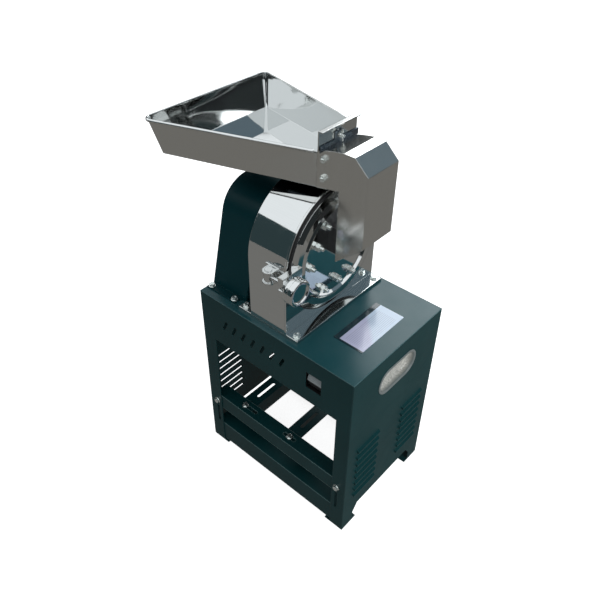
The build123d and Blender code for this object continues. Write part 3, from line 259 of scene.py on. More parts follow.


# hopper sheet: polished where it faces up and inwards, satin outside, with a painted shade where it faces
# down
def hopperSheet(name, inside, outside):
    material, tree, shader = startMaterial(name)
    place = objectPlace(tree)
    facing = along(tree, put(tree, "ShaderNodeNewGeometry").outputs["Normal"], "Z")
    inner = remap(tree, facing, inside["facing"])
    shadedBelow = remap(tree, facing, outside["facingDown"])
    streak = useGroup(tree, brushedGrain, {"Vector": place, "Stretch": outside["stretch"]})["Streak"]
    smudge = useGroup(tree, handSmudge, {"Vector": place, "Scale": outside["smudgeScale"]})["Mask"]
    edge = useGroup(tree, edgeRounding, {"Radius": outside["edgeRadius"]})
    wave = noise(tree, place, inside["waveScale"], inside["waveDetail"])
    satin = mixColour(tree, streak, outside["deep"], outside["pale"])
    satin = mixColour(tree, shadedBelow, satin, outside["paintedShadeBelow"])
    bright = mixColour(tree, streak, inside["deep"], inside["pale"])
    streaked = remap(tree, streak, noiseSpan,
                     (outside["roughness"], outside["roughness"] + outside["streak"]))
    smeared = remap(tree, smudge, fullSpan, (inside["roughness"], inside["roughness"] + inside["smudge"]))
    rough = put(tree, "ShaderNodeMix", {0: inner, 2: streaked, 3: smeared}, data_type="FLOAT")
    wavy = bumped(tree, wave, 1.0, inside["wave"], edge["Normal"])
    fill(tree, shader, {
        "Base Color": mixColour(tree, inner, satin, bright),
        "Metallic": outside["metal"],
        "Roughness": rough.outputs[0],
        "Normal": bumped(tree, streak, outside["scratch"], outside["scratchDepth"], wavy),
    })
    return material


hopperInside = {**mirrorLook, "facing": (-0.05, 0.05), "wave": 0.0008, "waveScale": 6.0, "smudge": 0.02}
# the near-black colour for faces turned down is a painted shade
hopperOutside = {**satinLook, "facingDown": (-0.7, -0.9), "paintedShadeBelow": (0.022, 0.026, 0.030),
                 "stretch": (14.0, 900.0, 900.0), "scratch": 0.018}
hopperSteel = hopperSheet("hopperSteel", hopperInside, hopperOutside)


# pressed grip cup: bare sheet with a flaky, spangled grain, its rim duller than the floor of its hollow
def spangledSheet(name, look):
    material, tree, shader = startMaterial(name)
    place = objectPlace(tree)
    low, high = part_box("table_top")
    middle, half = (low.x + high.x) / 2, (high.x - low.x) / 2
    edge = useGroup(tree, edgeRounding, {"Radius": look["edgeRadius"]})
    flakes = put(tree, "ShaderNodeTexVoronoi", {"Vector": place, "Scale": look["flakeScale"]})
    shine = put(tree, "ShaderNodeSeparateColor", {"Color": flakes.outputs["Color"]}).outputs["Red"]
    fromMiddle = sums(tree, "ABSOLUTE", sums(tree, "SUBTRACT", along(tree, place, "X"), middle))
    rim = remap(tree, fromMiddle, (half - look["hollowFrom"], half - look["rimFrom"]))
    hollow = mixColour(tree, shine, look["deep"], look["pale"])
    roughSpan = (look["roughness"], look["roughness"] + look["roughMore"])
    fill(tree, shader, {
        "Base Color": mixColour(tree, rim, hollow, look["rim"]),
        "Metallic": look["metal"],
        "Roughness": remap(tree, shine, fullSpan, roughSpan),
        "Normal": bumped(tree, shine, look["bump"], look["bumpDepth"], edge["Normal"]),
    })
    return material


gripSheet = spangledSheet("gripSheet", {"deep": (0.55, 0.53, 0.49), "pale": (0.88, 0.86, 0.81), "metal": 0.50,
                                        "rim": (0.27, 0.30, 0.30), "rimFrom": 0.002, "hollowFrom": 0.012,
                                        "flakeScale": 260.0, "roughness": 0.30, "roughMore": 0.15,
                                        "bump": 0.25, "bumpDepth": 0.0002, "edgeRadius": 0.001})


# cast iron, rubber, moulded plastic: one colour with grain
def grainedMatt(name, look):
    material, tree, shader = startMaterial(name)
    grain = noise(tree, objectPlace(tree), look["grainScale"], look["grainDetail"])
    edge = useGroup(tree, edgeRounding, {"Radius": look["edgeRadius"]})
    roughSpan = (look["roughness"] - look["roughSwing"], look["roughness"] + look["roughSwing"])
    fill(tree, shader, {
        "Base Color": mixColour(tree, grain, look["deep"], look["pale"]),
        "Metallic": look["metal"],
        "Roughness": remap(tree, grain, noiseSpan, roughSpan),
        "Normal": bumped(tree, grain, look["bump"], look["bumpDepth"], edge["Normal"]),
    })
    return material


ironLook = {"deep": (0.05, 0.05, 0.053), "pale": (0.12, 0.12, 0.125), "metal": 0.6, "grainScale": 420.0,
            "grainDetail": 4.0, "roughness": 0.55, "roughSwing": 0.06, "bump": 0.5, "bumpDepth": 0.0005,
            "edgeRadius": 0.001}
rubberLook = {**ironLook, "deep": (0.008, 0.008, 0.009), "pale": (0.02, 0.02, 0.021), "metal": 0.0,
              "grainScale": 300.0, "roughness": 0.6, "bump": 0.2, "edgeRadius": 0.0008}
switchLook = {**ironLook, "deep": (0.004, 0.004, 0.005), "pale": (0.008, 0.008, 0.009), "metal": 0.0,
              "grainScale": 900.0, "roughness": 0.4, "bump": 0.15, "edgeRadius": 0.0008}
castIron = grainedMatt("castIron", ironLook)
gasketRubber = grainedMatt("gasketRubber", rubberLook)
switchBlack = grainedMatt("switchBlack", switchLook)


# switch rocker: black below its ridge, its own colour; grey above it, a painted highlight where the upper
# slope faces the bright sky; fine moulded grain
def mouldedRocker(name, look):
    material, tree, shader = startMaterial(name)
    place = objectPlace(tree)
    ridge, blend = look["ridge"], look["ridgeBlend"]
    litAbove = remap(tree, along(tree, place, "Z"), (ridge - blend, ridge + blend))
    grain = noise(tree, place, look["grainScale"], look["grainDetail"])
    litTone = mixColour(tree, grain, look["deep"], look["pale"])
    edge = useGroup(tree, edgeRounding, {"Radius": look["edgeRadius"]})
    fill(tree, shader, {
        "Base Color": mixColour(tree, litAbove, look["black"], litTone),
        "Roughness": remap(tree, grain, noiseSpan, look["roughSpan"]),
        "Normal": bumped(tree, grain, look["bump"], look["bumpDepth"], edge["Normal"]),
    })
    return material


# deep and pale are the greys of the painted highlight on the upper slope, black is the rocker's own colour
rockerPaintedHighlight = mouldedRocker("rockerPaintedHighlight", {"ridge": 0.4740, "ridgeBlend": 0.0015, "deep": (0.25, 0.28, 0.29),
                                          "pale": (0.33, 0.36, 0.37), "black": (0.012, 0.013, 0.014),
                                          "grainScale": 900.0, "grainDetail": 3.0, "roughSpan": (0.24, 0.34),
                                          "bump": 0.1, "bumpDepth": 0.0003, "edgeRadius": 0.0008})


# instruction plate: dark heading strip along its left side, pale gloss beyond with plain ruled lines, and a
# painted sheen, paler and bluer, over its rear right corner
def printedPlate(name, look):
    material, tree, shader = startMaterial(name)
    place = objectPlace(tree)
    low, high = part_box("instruction_plate")
    across = remap(tree, along(tree, place, "X"), (low.x, high.x))
    deep = remap(tree, along(tree, place, "Y"), (low.y, high.y))
    cloud = noise(tree, place, look["cloudScale"], look["cloudDetail"])
    paper = mixColour(tree, cloud, look["deep"], look["pale"])
    # painted sheen: the paper turns to the far colour along a slant towards the rear right corner
    sheenRamp = sums(tree, "ADD", deep, sums(tree, "MULTIPLY", across, look["sheenSlant"]))
    paper = mixColour(tree, remap(tree, sheenRamp, look["sheenSpan"]), paper, look["far"])
    wave = sums(tree, "SINE", sums(tree, "MULTIPLY", across, 2.0 * np.pi * look["lines"]))
    ruled = remap(tree, wave, look["lineSpan"], (0.0, look["lineStrength"]))
    inside = sums(tree, "MULTIPLY", sums(tree, "COMPARE", across, *look["ruledAcross"]),
                  sums(tree, "COMPARE", deep, *look["ruledDeep"]))
    lined = mixColour(tree, sums(tree, "MULTIPLY", ruled, inside), paper, look["line"])
    border = sums(tree, "MAXIMUM", sums(tree, "LESS_THAN", across, look["heading"]),
                  sums(tree, "LESS_THAN", deep, look["border"]))
    fill(tree, shader, {
        "Base Color": mixColour(tree, border, lined, look["dark"]),
        "Roughness": remap(tree, cloud, noiseSpan, look["roughSpan"]),
    })
    return material


# far is the colour of the painted sheen
plateLook = {"deep": (0.50, 0.50, 0.70), "pale": (0.60, 0.61, 0.80), "cloudScale": 12.0, "cloudDetail": 3.0,
             "far": (0.60, 0.72, 0.88), "sheenSlant": 0.5, "sheenSpan": (0.70, 0.80), "line": (0.20, 0.20, 0.32),
             "lines": 17.0, "lineStrength": 0.45, "lineSpan": (0.55, 0.8), "ruledAcross": (0.60, 0.30),
             "ruledDeep": (0.48, 0.40), "dark": (0.010, 0.030, 0.040), "heading": 0.17, "border": 0.03,
             "roughSpan": (0.08, 0.16)}  # the ruled part is given by its middle and half its width
plateGloss = printedPlate("plateGloss", plateLook)
print("materials made")

# new pieces: lengths are millimetres from the cabinet's front left corner on the floor
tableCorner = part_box("table_top")[0]
cabinetCorner = np.array((tableCorner.x, tableCorner.y, 0.0))
millimetres = 1000.0  # to a metre
creaseAngle = np.radians(34.0)


def addPiece(name, points, faces, material, body, slot, *replaced):
    mesh = bpy.data.meshes.new(name)
    mesh.from_pydata((points / millimetres + cabinetCorner).tolist(), [], faces)
    mesh.materials.append(material)
    mesh.shade_smooth()
    mesh.set_sharp_from_angle(angle=creaseAngle)
    piece = bpy.data.objects.new(name, mesh)
    scene.collection.objects.link(piece)
    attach(piece, body)
    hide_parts(*replaced)


# points of a grid of rows by columns, from its three coordinates
def gridPoints(x, y, z):
    return np.stack(np.broadcast_arrays(x, y, z), -1).reshape(-1, 3)


# four-sided faces of an open grid
def patchFaces(rows, columns):
    cell = (np.arange(rows - 1)[:, None] * columns + np.arange(columns - 1)).reshape(-1)
    return np.stack([cell, cell + 1, cell + 1 + columns, cell + columns], -1).tolist()


# faces of a grid whose columns close on themselves, counted from its first point. One face closes each end
# row, or the last row joins the first in a ring
def shellFaces(rows, columns, start=0, ringed=False):
    here = np.arange(columns)
    after = np.roll(here, -1)
    low = np.arange(rows if ringed else rows - 1)[:, None] * columns
    high = (low + columns) % (rows * columns)
    sides = np.stack([low + here, low + after, high + after, high + here], -1).reshape(-1, 4)
    ends = [] if ringed else [here[::-1], here + (rows - 1) * columns]
    return (sides + start).tolist() + [(end + start).tolist() for end in ends]


# three directions of a seat: two across and one along the axis that the shape is turned about
seatFrames = {"+z": ((1, 0, 0), (0, 1, 0), (0, 0, 1)), "+x": ((0, 1, 0), (0, 0, 1), (1, 0, 0)),
              "+y": ((0, 0, 1), (1, 0, 0), (0, 1, 0)), "-y": ((1, 0, 0), (0, 0, 1), (0, -1, 0))}


# turned shape: a profile of height and radius spun about the seat's axis. Where flats are given, the radius
# stops at a hexagon, half the flats over the cosine of the angle from the nearest flat's middle. A thread
# takes off a wave that climbs one pitch with each turn. Each end is closed, or the rows make a ring round a
# bore
def turnedShape(rows, seats, pitch=1.0, count=36, bored=False):
    height, radius, flats, thread = np.array(rows, float).T[..., None]
    turn = np.arange(count) * 2.0 * np.pi / count
    fromFlat = (turn + np.pi / 6) % (np.pi / 3) - np.pi / 6
    hexagon = np.where(flats > 0, flats / 2 / np.cos(fromFlat), np.inf)
    wave = 0.5 + 0.5 * np.cos(2.0 * np.pi * height / pitch - turn)
    reach = np.minimum(radius, hexagon) - thread * wave
    shape = gridPoints(reach * np.cos(turn), reach * np.sin(turn), height)
    points, faces = [], []
    for place, axis in seats:
        faces += shellFaces(len(rows), count, len(points) * len(shape), bored)
        points.append(np.array(place) + shape @ np.array(seatFrames[axis], float))
    return np.concatenate(points), faces


# a row is height, radius, width across flats and depth of thread; these rows are plain and round
def roundRows(*steps):
    return [(height, radius, 0, 0) for height, radius in steps]


# rows of a hexagon with its corners turned off at the top end, and at the low end if asked: the radius grows
# evenly from a round face to the corners, and the height with it
hexSize = {"face": 0.47, "slope": 0.16, "steps": 5}  # face and slope as parts of the width across flats


def hexRows(low, high, flats, turnedLow):
    corner, face = flats / np.sqrt(3.0), hexSize["face"] * flats
    part = np.linspace(0.0, 1.0, hexSize["steps"])
    radius = face + (corner - face) * part
    drop = hexSize["slope"] * flats * (corner - face) / corner * part
    bottom = [(low + d, r, flats, 0) for d, r in zip(drop, radius)]
    top = [(high - d, r, flats, 0) for d, r in zip(drop[::-1], radius[::-1])]
    return (bottom if turnedLow else [(low, corner, flats, 0)]) + top


washerEdge = 0.3
threadSteps = 7.0  # rows to a pitch
threadGap = 0.1  # from a thread's end row to the plain row beside it


def washerRows(low, high, radius):
    return roundRows((low, radius - washerEdge), (low + washerEdge, radius), (high - washerEdge, radius),
                     (high, radius - washerEdge))


def threadRows(low, high, radius, size):
    return [(z, radius, 0, size["thread"]) for z in np.arange(low, high, size["pitch"] / threadSteps)]


# thread that starts from a chamfered tip
def startRows(tip, high, radius, size):
    low = tip + size["tipLong"]
    rows = roundRows((tip, radius - size["tip"]), (low, radius))
    return rows + threadRows(low + threadGap, high, radius, size)


# thread that ends in a chamfered tip
def endRows(low, tip, radius, size):
    high = tip - size["tipLong"]
    rows = threadRows(low + threadGap, high - threadGap, radius, size)
    return rows + roundRows((high, radius - size["tipStep"]), (tip, radius - size["tip"]))


# bolt with washer and nut: head above the seat, nut below the sheets that it holds
boltSize = {"shank": 4.0, "washer": 9.0, "washerThick": 1.6, "flats": 13.0, "head": 5.3, "dish": 4.03,
            "dishFloor": 3.25, "dishDeep": 0.3, "nut": 6.5, "tail": 3.0, "tipLong": 0.8, "tip": 1.12,
            "pitch": 1.25, "thread": 0.6}


def boltRows(grip):
    size = boltSize
    shank, thick, flats = size["shank"], size["washerThick"], size["flats"]
    nutLow = -grip - size["nut"]
    top = thick + size["head"]
    rows = startRows(nutLow - size["tail"], nutLow, shank, size)
    rows += roundRows((nutLow, shank)) + hexRows(nutLow, -grip, flats, True)
    rows += roundRows((-grip, shank), (0, shank)) + washerRows(0, thick, size["washer"])
    rows += hexRows(thick, top, flats, False)
    return rows + roundRows((top, size["dish"]), (top - size["dishDeep"], size["dishFloor"]))


millY, axisZ = 176.5, 722.5  # the axis that the mill turns about
boltSets = {  # body that they ride on, thickness of the sheets held, seats
    "guard_bolts": ("stand", 5.0, [((x, y, 553.0), "+z") for x in (12.0, 92.0) for y in (30.0, 323.0)]),
    "base_bolts": ("stand", 10.0, [((x, y, 558.0), "+z") for x in (136.0, 298.0) for y in (29.0, 324.0)]),
    "pedestal_bolts": ("stand", 24.0, [((143.0, y, 572.0), "+z") for y in (118.5, 234.5)]),
    "platform_bolts": ("platform", 5.5, [((x, y, 165.0), axis) for x in (27.0, 461.0)
                                         for y, axis in ((-0.2, "-y"), (348.2, "+y"))]),
    "left_rail_bolts": ("left_motor_rail", 6.4, [((117.0, y, 190.2), "+z") for y in (23.0, 325.0)]),
    "right_rail_bolts": ("right_motor_rail", 6.4, [((281.0, y, 190.2), "+z") for y in (23.0, 325.0)]),
    "chute_bolts": ("door", 3.0, [((281.5, millY + side * 48.0, z), axis) for z in (921.0, 963.5)
                                  for side, axis in ((-1, "+y"), (1, "-y"))]),
}
for node, (body, grip, seats) in boltSets.items():
    points, faces = turnedShape(boltRows(grip), seats, boltSize["pitch"])
    addPiece(node + "_turned", points, faces, zincPlate, body, "zinc_fasteners", node)
print("bolts turned:", sum(len(seats) for body, grip, seats in boltSets.values()))

# door studs: washer and nut on the door's face, bare thread beyond
studSize = {"left": 276.0, "face": 288.0, "right": 307.0, "radius": 5.0, "chamfer": 0.8, "washer": 9.6,
            "washerThick": 1.6, "flats": 17.0, "nut": 9.0, "pitch": 1.5, "thread": 0.75, "tipLong": 0.9,
            "tipStep": 0.2, "tip": 1.2}
studCircles = [(99.0, 0.0, 6), (83.0, 30.0, 3)]  # radius, first angle, how many


def addDoorStuds():
    size = studSize
    left, face, radius, chamfer = size["left"], size["face"], size["radius"], size["chamfer"]
    nutLow = face + size["washerThick"]
    nutHigh = nutLow + size["nut"]
    rows = roundRows((left, radius - chamfer), (left + chamfer, radius), (face, radius))
    rows += washerRows(face, nutLow, size["washer"]) + hexRows(nutLow, nutHigh, size["flats"], True)
    rows += roundRows((nutHigh, radius)) + endRows(nutHigh, size["right"], radius, size)
    seats = []
    for circle, first, many in studCircles:
        turn = np.radians(first + 360.0 * np.arange(many) / many)
        places = gridPoints(0.0, millY + circle * np.cos(turn), axisZ + circle * np.sin(turn))
        seats += [(place, "+x") for place in places]
    points, faces = turnedShape(rows, seats, size["pitch"])
    addPiece("door_studs_turned", points, faces, zincPlate, "door", "zinc_fasteners", "door_studs")


addDoorStuds()

# door clamp: coarse screw and a turned knob with a ring and a dished face
clampSize = {"seat": ((0.0, 0.0, 719.0), "+x"), "screwLeft": 243.0, "screwRight": 325.0, "screw": 5.0,
             "tipLong": 1.0, "tip": 1.5, "pitch": 3.0, "thread": 1.1, "knobLeft": 299.9, "knobSteps": 96}
# places from the knob's left end, radii from its neck's radius and then from its rim's
knobProfile = {"neck": (13.0, [(0.0, -1.5), (0.7, -0.4), (1.8, 0.0), (4.6, 0.0), (6.0, 0.7), (7.0, 2.4),
                               (7.6, 6.0)]),
               "rim": (31.0, [(8.4, -4.5), (9.2, -2.2), (10.6, -0.6), (12.2, 0.0), (18.4, 0.0), (19.2, -0.7),
                              (20.6, -0.7), (21.4, 0.0), (30.0, 0.0), (31.6, -0.4), (32.9, -1.2),
                              (33.7, -2.3), (34.0, -3.4), (34.0, -5.6), (33.8, -6.3), (33.0, -6.8),
                              (31.2, -7.4), (30.4, -8.4), (30.1, -10.0), (30.0, -12.5), (30.0, -27.0)])}


def addClampScrew():
    size = clampSize
    rows = startRows(size["screwLeft"], size["knobLeft"], size["screw"], size)
    rows += roundRows((size["knobLeft"], size["screw"]), (size["screwRight"], size["screw"]))
    points, faces = turnedShape(rows, [size["seat"]], size["pitch"])
    addPiece("clamp_screw_turned", points, faces, turnedSteel, "clamp_handle", "brushed_steel", "clamp_screw")


def addClampKnob():
    rows = []
    for radius, steps in knobProfile.values():
        rows += roundRows(*[(clampSize["knobLeft"] + x, radius + more) for x, more in steps])
    points, faces = turnedShape(rows, [clampSize["seat"]], count=clampSize["knobSteps"])
    addPiece("clamp_knob_turned", points, faces, doorMirror, "clamp_handle", "mirror_steel", "clamp_knob")


addClampScrew()
addClampKnob()

# gate bolt with a domed head, and its wing nut
gateBolt = {"y": 178.0, "z": 997.0, "headLeft": 267.0, "headRight": 270.0, "head": 6.0, "domeFrom": 0.25,
            "domeSteps": 6, "radius": 3.0, "right": 288.5, "pitch": 1.0, "thread": 0.45, "tipLong": 0.7,
            "tipStep": 0.1, "tip": 0.8}
wingNut = {"left": 274.8, "hub": 6.0, "hubLong": 7.0, "bore": 3.2, "edge": 0.4, "taper": 0.9, "face": 1.6,
           "faceLong": 1.0, "out": 8.4, "ahead": 7.2, "wingLong": 5.2, "wingWide": 4.1, "wingHalf": 1.1,
           "lean": 0.5, "around": 28, "across": 11, "spread": 0.98, "edgePower": 0.3, "flatPower": 0.6}
gateSeat = ((0.0, gateBolt["y"], gateBolt["z"]), "+x")


def addGateBolt():
    size = gateBolt
    left, right, radius = size["headLeft"], size["headRight"], size["radius"]
    dome = np.linspace(size["domeFrom"], 1.0, size["domeSteps"]) * np.pi / 2
    rows = roundRows(*zip(right - (right - left) * np.cos(dome), size["head"] * np.sin(dome)))
    rows += roundRows((right, radius), (wingNut["left"], radius))
    rows += endRows(wingNut["left"], size["right"], radius, size)
    points, faces = turnedShape(rows, [gateSeat], size["pitch"])
    addPiece("gate_bolt_turned", points, faces, zincPlate, "door", "zinc_fasteners", "gate_bolt")


# wing: a flattened round tablet leaning out of the hub, outline and thickness powers of cosine and sine
def wingPoints(side):
    size = wingNut
    around = np.arange(size["around"]) * 2.0 * np.pi / size["around"]
    across = np.linspace(-1.0, 1.0, size["across"])[:, None] * np.pi / 2 * size["spread"]
    full = np.cos(across) ** size["edgePower"]
    long = size["wingLong"] * np.cos(around) * full
    wide = size["wingWide"] * np.sin(around) * full
    thick = size["wingHalf"] * np.sign(across) * np.abs(np.sin(across)) ** size["flatPower"]
    ahead = long * np.sin(size["lean"]) - wide * np.cos(size["lean"])
    out = long * np.cos(size["lean"]) + wide * np.sin(size["lean"])
    return gridPoints(size["left"] + size["ahead"] + ahead, gateBolt["y"] - side * thick,
                      gateBolt["z"] + side * (size["out"] + out))


def addWingNut():
    size = wingNut
    left, hub, bore, edge = size["left"], size["hub"], size["bore"], size["edge"]
    far = left + size["hubLong"]
    rows = roundRows((left, bore), (left, hub - edge), (left + edge, hub),
                     (far - size["faceLong"], hub - size["taper"]), (far, hub - size["face"]), (far, bore))
    points, faces = turnedShape(rows, [gateSeat], bored=True)
    for side in (-1, 1):
        faces += shellFaces(size["across"], size["around"], len(points))
        points = np.concatenate([points, wingPoints(side)])
    addPiece("gate_wing_nut_turned", points, faces, zincPlate, "wing_nut", "zinc_fasteners", "gate_wing_nut")


addGateBolt()
addWingNut()
print("studs, clamp and gate fasteners turned")

# hand grips: a pressed profile, height out of the panel and distance from the hollow's edge, carried round a
# long, round-ended outline
gripSize = {"y": 174.0, "z": 464.0, "length": 136.0, "tall": 62.0, "left": 0.0, "right": 488.0,
            "endSteps": 25,
            "profile": [(-17.5, 1.5), (0.0, 1.5), (0.0, 6.6), (0.5, 7.0), (1.3, 6.8), (2.0, 6.0), (2.4, 4.9),
                        (2.5, 3.6), (2.4, 2.4), (1.9, 1.2), (1.0, 0.4), (-0.5, 0.0), (-3.0, 0.0),
                        (-11.0, 0.0), (-13.6, -0.6), (-15.2, -2.2), (-15.9, -4.6), (-16.0, -8.0)]}


def addGripCup(name, x, out):
    size = gripSize
    height, offset = np.array(size["profile"]).T[..., None]
    half = np.linspace(-np.pi / 2, np.pi / 2, size["endSteps"])
    turn = np.concatenate([half, half + np.pi])
    straight = (size["length"] - size["tall"]) / 2 * np.repeat((1.0, -1.0), half.size)
    reach = size["tall"] / 2 + offset
    points = gridPoints(x + out * height, size["y"] + out * (straight + reach * np.cos(turn)),
                        size["z"] + reach * np.sin(turn))
    faces = shellFaces(height.size, turn.size)
    addPiece(name + "_pressed", points, faces, gripSheet, "stand", "brushed_steel", name)


addGripCup("left_grip_cup", gripSize["left"], -1)
addGripCup("right_grip_cup", gripSize["right"], 1)

# switch rocker: two slopes that meet in a round ridge, with a groove above it, tilted about its pivot
rockerSize = {"x": 374.5, "z": 477.5, "pivot": 15.0, "tilt": -8.0, "half": 21.5, "tall": 20.0, "front": 4.0,
              "slope": 0.40, "ridge": 3.0, "back": 19.0, "backIn": 2.0, "round": 1.2, "groove": 1.5,
              "grooveUp": 1.8, "grooveWide": 0.7, "steps": 81}


def addRocker():
    size = rockerSize
    tall, half, edge, backZ = size["tall"], size["half"], size["round"], size["tall"] - size["backIn"]
    up = np.linspace(-tall, tall, size["steps"])
    front = size["front"] + size["slope"] * (np.sqrt(up ** 2 + size["ridge"] ** 2) - size["ridge"])
    front = front + size["groove"] * np.exp(-((up - size["grooveUp"]) / size["grooveWide"]) ** 2)
    loopY = np.concatenate([front, (size["back"], size["back"])]) - size["pivot"]
    loopZ = np.concatenate([up, (backZ, -backZ)])
    across = np.array((-half, edge - half, half - edge, half))[:, None]
    shrink = np.array((edge, 0.0, 0.0, edge))[:, None]
    y = loopY + shrink * (loopY < 0)
    z = loopZ * (1.0 - shrink / tall)
    turn = np.radians(size["tilt"])
    points = gridPoints(size["x"] + across, size["pivot"] + y * np.cos(turn) - z * np.sin(turn),
                        size["z"] + y * np.sin(turn) + z * np.cos(turn))
    faces = [face[::-1] for face in shellFaces(across.size, loopY.size)]  # the loop runs the other way
    addPiece("switch_rocker_moulded", points, faces, rockerPaintedHighlight, "rocker", "grey_plastic", "switch_rocker")


addRocker()
print("grips and rocker made")

# hopper tray: a section of inner wall, rolled edge and outer wall carried along the tray's open outline, from
# the front of the mouth round the left end to the back of the mouth. The walls lean between a floor outline
# and a rim outline
trayPlan = [  # floor corner, rim corner, radius of the bend at floor and rim
    ((262.0, 125.5), (262.0, 125.5), 0.0, 0.0), ((-96.0, 3.5), (-118.0, -16.5), 8.0, 15.0),
    ((-96.0, 349.5), (-118.0, 369.5), 6.0, 11.0), ((238.0, 283.5), (238.0, 283.5), 3.0, 5.0),
    ((262.0, 227.5), (262.0, 227.5), 0.0, 0.0)]
traySize = {"floor": 895.0, "rim": 973.0, "wall": 1.5, "bead": 4.0, "beadStop": 7.0, "beadStep": 0.2,
            "beadDrop": 6.0, "bendSteps": 9, "runSteps": 12, "innerRows": 5, "beadRows": 13, "outerRows": 4,
            "tabLeft": 260.5, "tabRight": 296.0, "tabHalf": 48.0, "tabLow": 905.0, "tabHigh": 971.0}


# round bend at a corner: an arc that touches both sides, swept by the angle that the outline turns through
def bendPoints(before, corner, after, radius):
    arriving = (corner - before) / np.linalg.norm(corner - before)
    leaving = (after - corner) / np.linalg.norm(after - corner)
    turn = np.arccos(np.clip(arriving @ leaving, -1.0, 1.0))
    start = corner - arriving * radius * np.tan(turn / 2)
    inward = np.array((arriving[1], -arriving[0]))  # the outline runs clockwise
    sweep = np.linspace(0.0, turn, traySize["bendSteps"])[:, None]
    return start + radius * (np.sin(sweep) * arriving + (1.0 - np.cos(sweep)) * inward)


# outline at the floor or the rim: straight runs and bends, with a mark of 1 wherever the edge is rolled
def trayOutline(level):
    corners = np.array([step[level] for step in trayPlan])
    radii = [step[2 + level] for step in trayPlan]
    left, back, mouth = [bendPoints(*corners[i - 1:i + 2], radii[i]) for i in (1, 2, 3)]
    run = (left[0] - corners[0]) / np.linalg.norm(left[0] - corners[0])
    plain = [corners[0], corners[0] + run * traySize["beadStop"]]
    rolled = plain[1] + run * traySize["beadStep"]
    part = np.linspace(0.0, 1.0, traySize["runSteps"])[1:-1, None]
    pieces = [(plain, 0.0), ([rolled], 1.0), (rolled + (left[0] - rolled) * part, 1.0), (left, 1.0),
              (left[-1] + (back[0] - left[-1]) * part, 1.0), (back, 1.0),
              (back[-1] + (mouth[0] - back[-1]) * part, 1.0), (mouth, 0.0), (corners[-1:], 0.0)]
    beaded = np.concatenate([np.full(len(places), mark) for places, mark in pieces])
    return np.concatenate([places for places, mark in pieces]), beaded


# wall: rows up its inner face, round the rolled edge and down its outer face. Where the edge isn't rolled,
# the roll is as thick as the sheet
def trayWall():
    size = traySize
    floor = trayOutline(0)[0]
    rim, beaded = trayOutline(1)
    ahead = np.gradient(rim, axis=0)
    outward = np.stack([-ahead[:, 1], ahead[:, 0]], -1) / np.linalg.norm(ahead, axis=1, keepdims=True)
    wall, tall = size["wall"], size["rim"] - size["floor"]
    lean = (rim - floor) / tall
    centre = -wall / 2 * (1.0 - beaded)  # the roll's middle, out from the wall's outer face
    roll = wall / 2 + (size["bead"] - wall / 2) * beaded
    first = np.arccos(np.clip((-wall - centre) / roll, -1.0, 1.0))
    inside = np.linspace(0.0, tall, size["innerRows"])
    arc = [first + (-np.pi / 2 - first) * part for part in np.linspace(0.0, 1.0, size["beadRows"])]
    outside = np.linspace(tall - size["beadDrop"], -wall, size["outerRows"])
    sections = [(floor - wall * outward + lean * up, size["floor"] + up) for up in inside]
    sections += [(rim + outward * (centre + roll * np.cos(a))[:, None], size["rim"] + roll * np.sin(a))
                 for a in arc]
    sections += [(floor + lean * up, size["floor"] + up) for up in outside]
    return np.stack([np.column_stack([plan, np.broadcast_to(z, len(plan))]) for plan, z in sections])


# box: its eight corners, low ring first, and their faces
boxCorners = np.array([(0, 0, 0), (1, 0, 0), (1, 1, 0), (0, 1, 0),
                       (0, 0, 1), (1, 0, 1), (1, 1, 1), (0, 1, 1)])
boxFaces = np.array([(3, 2, 1, 0), (4, 5, 6, 7), (0, 1, 5, 4), (1, 2, 6, 5), (2, 3, 7, 6), (3, 0, 4, 7)])


def boxPoints(low, high):
    return np.array(low) + (np.array(high) - np.array(low)) * boxCorners


def addHopperPan():
    size = traySize
    section = trayWall()
    rows, columns = section.shape[:2]
    points = section.reshape(-1, 3)
    faces = patchFaces(rows, columns)
    station, level = np.arange(columns), np.arange(rows) * columns
    last = (rows - 1) * columns
    faces += [station[::-1].tolist(), (station + last).tolist()]  # floor and underside
    faces += [level.tolist(), (level + columns - 1)[::-1].tolist()]  # ends of the wall
    faces += [(columns - 1, 0, last, last + columns - 1)]  # floor's edge at the mouth
    for side in (-1, 1):
        low, high = sorted((millY + side * size["tabHalf"], millY + side * (size["tabHalf"] + size["wall"])))
        tab = boxPoints((size["tabLeft"], low, size["tabLow"]), (size["tabRight"], high, size["tabHigh"]))
        faces += (boxFaces + len(points)).tolist()
        points = np.concatenate([points, tab])
    addPiece("hopper_pan_folded", points, faces, hopperSteel, "door", "mirror_steel", "hopper_pan")


addHopperPan()
print("hopper folded")

# finish of every node that no new piece replaces
finishes = {
    cabinetGreen: ["left_side_panel", "right_side_panel", "front_panel", "rear_panel", "foot_plates",
                   "left_rail", "right_rail"],
    railGreen: ["front_bottom_rail", "rear_bottom_rail", "front_channel", "rear_channel"],
    tableSheenGreen: ["table_top"],
    guardGreen: ["belt_guard"],
    housingMirror: ["mill_housing", "housing_face_ring"],
    baseSatin: ["mill_base_plate"],
    doorMirror: ["mill_door"],
    chuteSatin: ["feed_chute", "outlet_spout"],
    gateSatin: ["feed_gate"],
    guideShadedSatin: ["gate_guide"],
    turnedSteel: ["clamp_fork", "clamp_clevis", "clamp_trunnion", "clamp_washer", "hinge_bracket",
                  "hinge_pin", "door_hinge_strap", "screen", "mill_shaft", "shaft_bearings", "shaft_key"],
    zincPlate: ["rotor_nut"],
    # the inlet neck is given the dark iron partly as a painted shade, for the black between the chute and the
    # door's top
    castIron: ["inlet_neck", "bearing_pedestal", "mill_pulley", "rotor_disc", "beaters", "chamber_liner",
               "door_liner"],
    gasketRubber: ["door_gasket"],
    switchBlack: ["switch_housing"],
    plateGloss: ["instruction_plate"],
}
